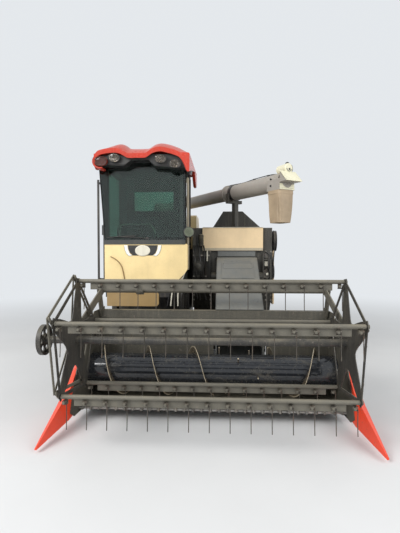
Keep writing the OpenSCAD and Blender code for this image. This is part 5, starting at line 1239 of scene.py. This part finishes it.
class HARVESTER_OT_thresher_front(bpy.types.Operator):
    """Pipes, hoses, brackets, springs and small pulleys on the threshing unit's front, and its panel's folds"""
    bl_idname = "harvester.thresher_front"
    bl_label = "Threshing unit's front"

    def execute(self, context):
        lip = bmesh.new()
        add_box(lip, (PANEL_X0 + 0.002, PANEL_Y - 0.004, PANEL_Z0 + 0.003),
                (PANEL_X1 - 0.002, PANEL_Y - 0.0003, PANEL_Z0 + 0.036), 0.0015)
        finished_object("panel_lip", lip, FINISH["beige"], "chassis")
        top = bmesh.new()
        add_box(top, (PANEL_X0 - 0.002, PANEL_Y - 0.005, THRESHER_Z + 0.0003),
                (PANEL_X1 + 0.003, PANEL_Y + 0.05, THRESHER_Z + 0.006), 0.002)
        finished_object("panel_top_edge", top, FINISH["pale"], "chassis")

        # Apron that closes the gap over the feeder house, under the panel
        apron = bmesh.new()
        add_box(apron, (0.085, -0.157, 1.458), (0.565, -0.131, 1.529), 0.003)
        finished_object("hood_apron", apron, FINISH["hood"], "chassis")
        ribs = bmesh.new()

        def on_hood(x, along, off):
            """Point on the hood's slope, along metres above its foot and off metres before it"""
            slope = math.atan2(HOOD_TOP[1] - HOOD_FOOT[1], HOOD_TOP[0] - HOOD_FOOT[0])
            return Vector((x, HOOD_FOOT[0] + 0.002 + along * math.cos(slope) - off * math.sin(slope),
                           HOOD_FOOT[1] + along * math.sin(slope) + off * math.cos(slope)))

        loop = ((0.150, 0.78), (0.150, 0.86), (0.165, 0.885), (0.49, 0.885), (0.505, 0.86), (0.505, 0.78),
                (0.49, 0.765), (0.165, 0.765), (0.150, 0.78), (0.150, 0.80))
        add_tube(ribs, [on_hood(x, along, 0.0165) for x, along in loop], 0.0035, 8)
        for along in (0.925, 0.965):
            add_tube(ribs, [on_hood(0.16, along, 0.0105), on_hood(0.49, along, 0.0105)], 0.0035, 8)
        finished_object("hood_ribs", ribs, FINISH["hood"], "header")

        frame_bars = bmesh.new()
        # Rows: low corner and high corner of flat bars, plates and brackets
        for low, high in (((-0.236, -0.175, 1.19), (-0.050, -0.131, 1.215)),
                          ((-0.236, -0.168, 1.46), (-0.02, -0.131, 1.484)),
                          ((-0.030, -0.180, 1.02), (-0.008, -0.131, 1.46)),
                          ((-0.030, -0.186, 1.315), (0.004, -0.131, 1.333)),
                          ((-0.232, -0.190, 1.60), (-0.196, -0.131, 1.80)),
                          ((-0.215, -0.200, 1.02), (-0.185, -0.131, 1.10)),
                          ((0.655, -0.176, 1.02), (0.672, -0.131, 1.50)),
                          ((0.655, -0.170, 1.408), (0.776, -0.131, 1.428)),
                          ((0.745, -0.182, 1.03), (0.765, -0.131, 1.41)),
                          ((0.690, -0.160, 1.13), (0.776, -0.131, 1.15))):
            add_box(frame_bars, low, high, 0.003)
        # Ribbed boot over the steering column's foot and a small gearbox
        add_lathe(frame_bars, (-0.128, FRONT_Y - 0.040, 1.585), (0, 0, 1),
                  [(0.0, 0.0)] + [(k * 0.0085, 0.036 if k % 2 else 0.027) for k in range(1, 19)] + [(0.165, 0.0)], 24)
        add_box(frame_bars, (-0.225, -0.205, 1.265), (-0.105, -0.131, 1.395), 0.012)
        add_lathe(frame_bars, (-0.165, -0.131, 1.33), (0, -1, 0),
                  [(0.074, 0.0), (0.074, 0.040), (0.092, 0.040), (0.096, 0.034), (0.096, 0.0)], 24)
        finished_object("thresher_front_frames", frame_bars, FINISH["machine"], "chassis")

        springs = bmesh.new()
        for x, z0, z1 in ((-0.075, 1.235, 1.40), (0.712, 1.165, 1.30)):
            turns, steps = 11, 10
            coil = []
            for k in range(turns * steps + 1):
                t = 2 * math.pi * k / steps
                coil.append(Vector((x + 0.011 * math.cos(t), FRONT_Y - 0.022 + 0.011 * math.sin(t),
                                    z0 + (z1 - z0) * k / (turns * steps))))
            add_tube(springs, coil, 0.0022, 6)
            add_tube(springs, [Vector((x, FRONT_Y - 0.022, z0 - 0.02)), Vector((x, FRONT_Y - 0.022, z1 + 0.03))],
                     0.0045, 8)
        finished_object("tension_springs", springs, FINISH["wire"], "chassis")

        bright = bmesh.new()
        add_box(bright, (-0.057, -0.178, 1.395), (-0.041, -0.160, 1.535), 0.003)
        add_box(bright, (0.682, -0.150, 1.335), (0.722, -0.1465, 1.395), 0.001)
        add_lathe(bright, (0.712, -0.131, 1.235), (0, -1, 0),
                  [(0.044, 0.0), (0.044, 0.015), (0.050, 0.015), (0.050, 0.0)], 20)
        finished_object("bright_fittings", bright, FINISH["pale"], "chassis", smooth=False)

        pulleys = bmesh.new()
        for x, z, radius in ((0.712, 1.235, 0.058), (0.700, 1.465, 0.030)):
            groove = [(0.006, radius), (0.012, radius), (0.020, radius - 0.012), (0.028, radius), (0.034, radius)]
            face = [(0.034, radius - 0.014), (0.030, radius - 0.018), (0.030, 0.018), (0.040, 0.016), (0.040, 0.0)]
            add_lathe(pulleys, (x, -0.131, z), (0, -1, 0), [(0.006, 0.0), *groove, *face], 32)
        finished_object("front_pulleys", pulleys, FINISH["iron"], "chassis")

        hoses = bmesh.new()
        radius = context.scene.harvester_sizes.hose
        # Rows: places of each hose from its top to its foot
        for path in (((-0.205, 1.60), (-0.212, 1.45), (-0.190, 1.25), (-0.200, 1.06), (-0.175, 0.92)),
                     ((-0.165, 1.62), (-0.150, 1.50), (-0.128, 1.25), (-0.150, 1.08), (-0.140, 0.90)),
                     ((-0.095, 1.60), (-0.085, 1.48), (-0.105, 1.20), (-0.100, 1.05), (-0.060, 0.90)),
                     ((0.690, 1.52), (0.735, 1.47), (0.728, 1.33), (0.750, 1.20), (0.738, 1.04))):
            places = [(x, FRONT_Y - 0.058 + 0.022 * (k % 2), z) for k, (x, z) in enumerate(path)]
            add_tube(hoses, smooth_path(places, 6), radius * 0.75, 8)
        finished_object("front_hoses", hoses, FINISH["hose"], "chassis")

        spots = [(Vector((x, FRONT_Y - 0.0005, z)), (0, -1, 0)) for x in (-0.222, -0.012, 0.70, 0.765)
                 for z in (0.90, 0.96, 1.52)]
        spots += [(Vector((x, -0.1755, 1.2025)), (0, -1, 0)) for x in (-0.225, -0.065)]
        spots += [(Vector((x, -0.1685, 1.472)), (0, -1, 0)) for x in (-0.222, -0.12, -0.03)]
        bolt_rows("thresher_front_bolts", spots, context.scene.harvester_sizes.bolt * 0.7, FINISH["bolt"], "chassis")
        return {"FINISHED"}


def on_boom(bm):
    """Brings a mesh from the frame of the stowed tube, whose x runs along it, to its place"""
    place = Matrix.Translation(COLUMN) @ Matrix.Rotation(STOW_TURN - math.pi / 2, 4, "Z")
    bmesh.ops.transform(bm, matrix=place, verts=bm.verts)


SPOUT_X = TUBE_LEN - 0.130
SLEEVE_LOW, SLEEVE_HIGH = 1.84, 2.1997


class HARVESTER_OT_unloading_auger(bpy.types.Operator):
    """Rest band, cable, slanted cover, end cap and the folded sleeve of the unloading auger"""
    bl_idname = "harvester.unloading_auger"
    bl_label = "Unloading auger"

    def execute(self, context):
        band = bmesh.new()
        # Columns: along, off the tube
        section = ((0, 0.0005), (0, 0.007), (0.010, 0.008), (0.050, 0.008), (0.060, 0.007), (0.060, 0.0005))
        add_lathe(band, (REST_LEN - 0.030, 0, TUBE_Z), (1, 0, 0), [(along, SLEEVE_R + off) for along, off in section],
                  48)
        for x in (FLANGE + 0.06, FLANGE + 0.55, FLANGE + 0.82):
            add_box(band, (x - 0.012, -0.018, TUBE_Z + SLEEVE_R - 0.004),
                    (x + 0.012, 0.018, TUBE_Z + SLEEVE_R + 0.016), 0.004)
        add_box(band, (0.86, -0.030, TUBE_Z + 0.073), (0.93, 0.020, TUBE_Z + 0.088), 0.003)
        cable = [(0.60, 0.0, 0.080), (1.0, 0.012, 0.082), (1.6, 0.0, 0.080), (2.05, 0.006, 0.083),
                 (FLANGE - 0.05, 0.004, 0.110), (FLANGE + 0.06, 0, 0.113), (FLANGE + 0.30, 0.016, 0.108),
                 (FLANGE + 0.55, 0, 0.113), (FLANGE + 0.82, 0, 0.113), (SPOUT_X - 0.10, 0.02, 0.109)]
        add_tube(band, smooth_path([(x, y, TUBE_Z + z) for x, y, z in cable], 6), 0.0055, 8)
        on_boom(band)
        finished_object("auger_band_and_cable", band, FINISH["plastic"], "auger_boom")

        def along_boom(half, name, finish, rows, bevel):
            """Plate that spans the tube, from its outline along the tube and up"""
            bm = bmesh.new()
            for outline in rows:
                add_plate(bm, outline, 2 * half, facing_front(0, half, TUBE_Z))
            round_edges(bm, bevel)
            on_boom(bm)
            finished_object(name, bm, FINISH[finish], "auger_boom", smooth=False, outward=True)

        half = SLEEVE_R + 0.008
        end = SPOUT_X + 0.1103
        along_boom(half, "auger_end_wedge", "tube",
                   [((end, 0.094), (end + 0.100, -0.010), (end + 0.100, -0.022), (end, -0.022))], 0.003)
        # Slanted sheet over the end, and the lit lower end face with its band
        along_boom(half + 0.004, "auger_end_cover", "cover",
                   [((end + 0.001, 0.104), (end + 0.010, 0.104), (end + 0.120, -0.012), (end + 0.120, -0.020),
                     (end + 0.114, -0.020))], 0.0015)
        along_boom(half - 0.002, "auger_end_face", "cover",
                   [((end, -0.034), (end + 0.003, -0.034), (end + 0.003, -0.080), (end, -0.080)),
                    ((end, -0.082), (end + 0.007, -0.082), (end + 0.007, -0.098), (end, -0.098))], 0.001)
        cap = bmesh.new()
        hub = Vector((end, 0.012, TUBE_Z + 0.138))
        add_lathe(cap, hub, (1, 0, 0), [(-0.14, 0.0), (-0.14, 0.050), (0.010, 0.056), (0.018, 0.050), (0.020, 0.0)],
                  40)
        on_boom(cap)
        finished_object("auger_end_cap", cap, FINISH["cover"], "auger_boom")

        knob = bmesh.new()
        add_lathe(knob, hub + Vector((0.020, 0.004, -0.01)), (1, 0, 0),
                  [(-0.002, 0.0), (-0.002, 0.012), (0.006, 0.010), (0.008, 0.0)], 16)
        add_lathe(knob, hub + Vector((-0.012, 0, 0.054)), (0, 0, 1),
                  [(-0.012, 0.0), (-0.012, 0.021), (0.008, 0.021), (0.016, 0.012), (0.016, 0.0)], 20)
        for start, stop, reach, depth in ((185, 345, 0.034, 0.0205), (-25, 50, 0.064, 0.0)):
            arc = [hub + Vector((depth, reach * math.cos(math.radians(a)), reach * math.sin(math.radians(a))))
                   for a in range(start, stop + 1, 13)]
            add_tube(knob, arc, 0.0035 if reach < 0.05 else 0.006, 6)
        for z in (0.030, -0.045):
            add_lathe(knob, (SPOUT_X - 0.040, -SLEEVE_R - 0.006, TUBE_Z + z), (0, -1, 0),
                      [(0, 0.0), (0, 0.011), (0.008, 0.011), (0.010, 0.0)], 12)
        on_boom(knob)
        finished_object("auger_end_fittings", knob, FINISH["plastic"], "auger_boom")

        def ring_of(z, inset):
            """Rounded square of the sleeve at a height, with its vertical folds"""
            share = (z - SLEEVE_LOW) / (SLEEVE_HIGH - SLEEVE_LOW)
            half_x, half_y = 0.100 + 0.018 * share, 0.090 + 0.027 * share
            points = []
            for k in range(96):
                t = 2 * math.pi * k / 96
                c, q = math.cos(t), math.sin(t)
                deep = math.sin(math.pi * min(1, share * 1.1)) ** 0.5
                fold = 0.0035 * (math.sin(7 * t + 3 * share) + 0.7 * math.sin(13 * t + 1.3)) * deep
                reach = 1 - inset / half_x - (0.006 - fold) / half_x
                points.append((SPOUT_X + math.copysign(abs(c) ** 0.32, c) * half_x * reach,
                               math.copysign(abs(q) ** 0.32, q) * half_y * reach))
            return points

        sleeve = bmesh.new()
        levels = [SLEEVE_LOW + (SLEEVE_HIGH - SLEEVE_LOW) * k / 24 for k in range(25)]
        rings = [[sleeve.verts.new((x, y, z)) for x, y in ring_of(z, inset)]
                 for inset, heights in ((0.0, levels), (0.004, levels[::-1])) for z in heights]
        for one, two in zip(rings, rings[1:] + rings[:1]):
            for k in range(96):
                sleeve.faces.new((one[k], one[(k + 1) % 96], two[(k + 1) % 96], two[k]))
        on_boom(sleeve)
        finished_object("folded_sleeve", sleeve, FINISH["sleeve"], "auger_boom",
                        replaces=("spout_sleeve",), outward=True)
        strap = bmesh.new()
        outer = [(SPOUT_X + (x - SPOUT_X) * 1.022, y * 1.022) for x, y in ring_of(SLEEVE_HIGH - 0.03, 0.0)]
        inner = [(SPOUT_X + (x - SPOUT_X) * 1.004, y * 1.004) for x, y in ring_of(SLEEVE_HIGH - 0.03, 0.0)]
        bent_wall(strap, (outer, inner), SLEEVE_HIGH - 0.040, 0.020)
        on_boom(strap)
        finished_object("sleeve_strap", strap, FINISH["sleeve"], "auger_boom", outward=True)
        return {"FINISHED"}


class HARVESTER_OT_mirror(bpy.types.Operator):
    """Oval mirror with its dark rim beside the cab"""
    bl_idname = "harvester.mirror"
    bl_label = "Mirror"

    def execute(self, context):
        centre = Vector((CAB_X1 + 0.062, CAB_Y0 - 0.026, SILL_Z + 0.100))
        turn = Matrix.Rotation(math.radians(12), 4, "Z") @ Matrix.Rotation(math.radians(82), 4, "X")
        rim = ((0.0255, 0.0), (0.0265, 0.90), (0.0265, 1.0), (0.0305, 0.98), (0.0300, 0.90), (0.0280, 0.88),
               (0.0280, 0.0))
        glass = ((0.0282, 0.0), (0.0282, 0.875), (0.0292, 0.870), (0.0297, 0.0))
        for name, profile, finish in (("mirror_rim", rim, "plastic"), ("mirror_glass", glass, "mirror")):
            bm = bmesh.new()
            add_lathe(bm, (0, 0, 0), (0, 0, 1), profile, 40)
            place = Matrix.Translation(centre) @ turn @ Matrix.Diagonal((0.062, 0.062, 1, 1))
            bmesh.ops.transform(bm, matrix=place, verts=bm.verts)
            finished_object(name, bm, FINISH[finish], "chassis", outward=True)
        return {"FINISHED"}


STEPS = (HARVESTER_OT_stage, HARVESTER_OT_paint, HARVESTER_OT_roof, HARVESTER_OT_lamps, HARVESTER_OT_cab_trim,
         HARVESTER_OT_windscreen, HARVESTER_OT_front_panel, HARVESTER_OT_thresher_front, HARVESTER_OT_unloading_auger,
         HARVESTER_OT_mirror, HARVESTER_OT_driver_seat, HARVESTER_OT_tine_bars, HARVESTER_OT_reel_bolts)


class HARVESTER_PT_panel(bpy.types.Panel):
    """Lists the steps in the sidebar"""
    bl_idname = "HARVESTER_PT_panel"
    bl_label = "Harvester"
    bl_space_type = "VIEW_3D"
    bl_region_type = "UI"
    bl_category = "Harvester"

    def draw(self, context):
        for group in (context.scene.harvester_sizes, context.scene.harvester_colours):
            for key in group.__annotations__:
                self.layout.prop(group, key)
        for step in STEPS:
            self.layout.operator(step.bl_idname)


CLASSES = (HarvesterSizes, HarvesterColours, *STEPS, HARVESTER_PT_panel)


def register():
    for one in CLASSES:
        bpy.utils.register_class(one)
    bpy.types.Scene.harvester_sizes = bpy.props.PointerProperty(type=HarvesterSizes)
    bpy.types.Scene.harvester_colours = bpy.props.PointerProperty(type=HarvesterColours)


def unregister():
    del bpy.types.Scene.harvester_sizes
    del bpy.types.Scene.harvester_colours
    for one in reversed(CLASSES):
        bpy.utils.unregister_class(one)


def main():
    register()
    for step in STEPS:
        group, name = step.bl_idname.split(".")
        getattr(getattr(bpy.ops, group), name)()


if __name__ == "__main__":
    main()
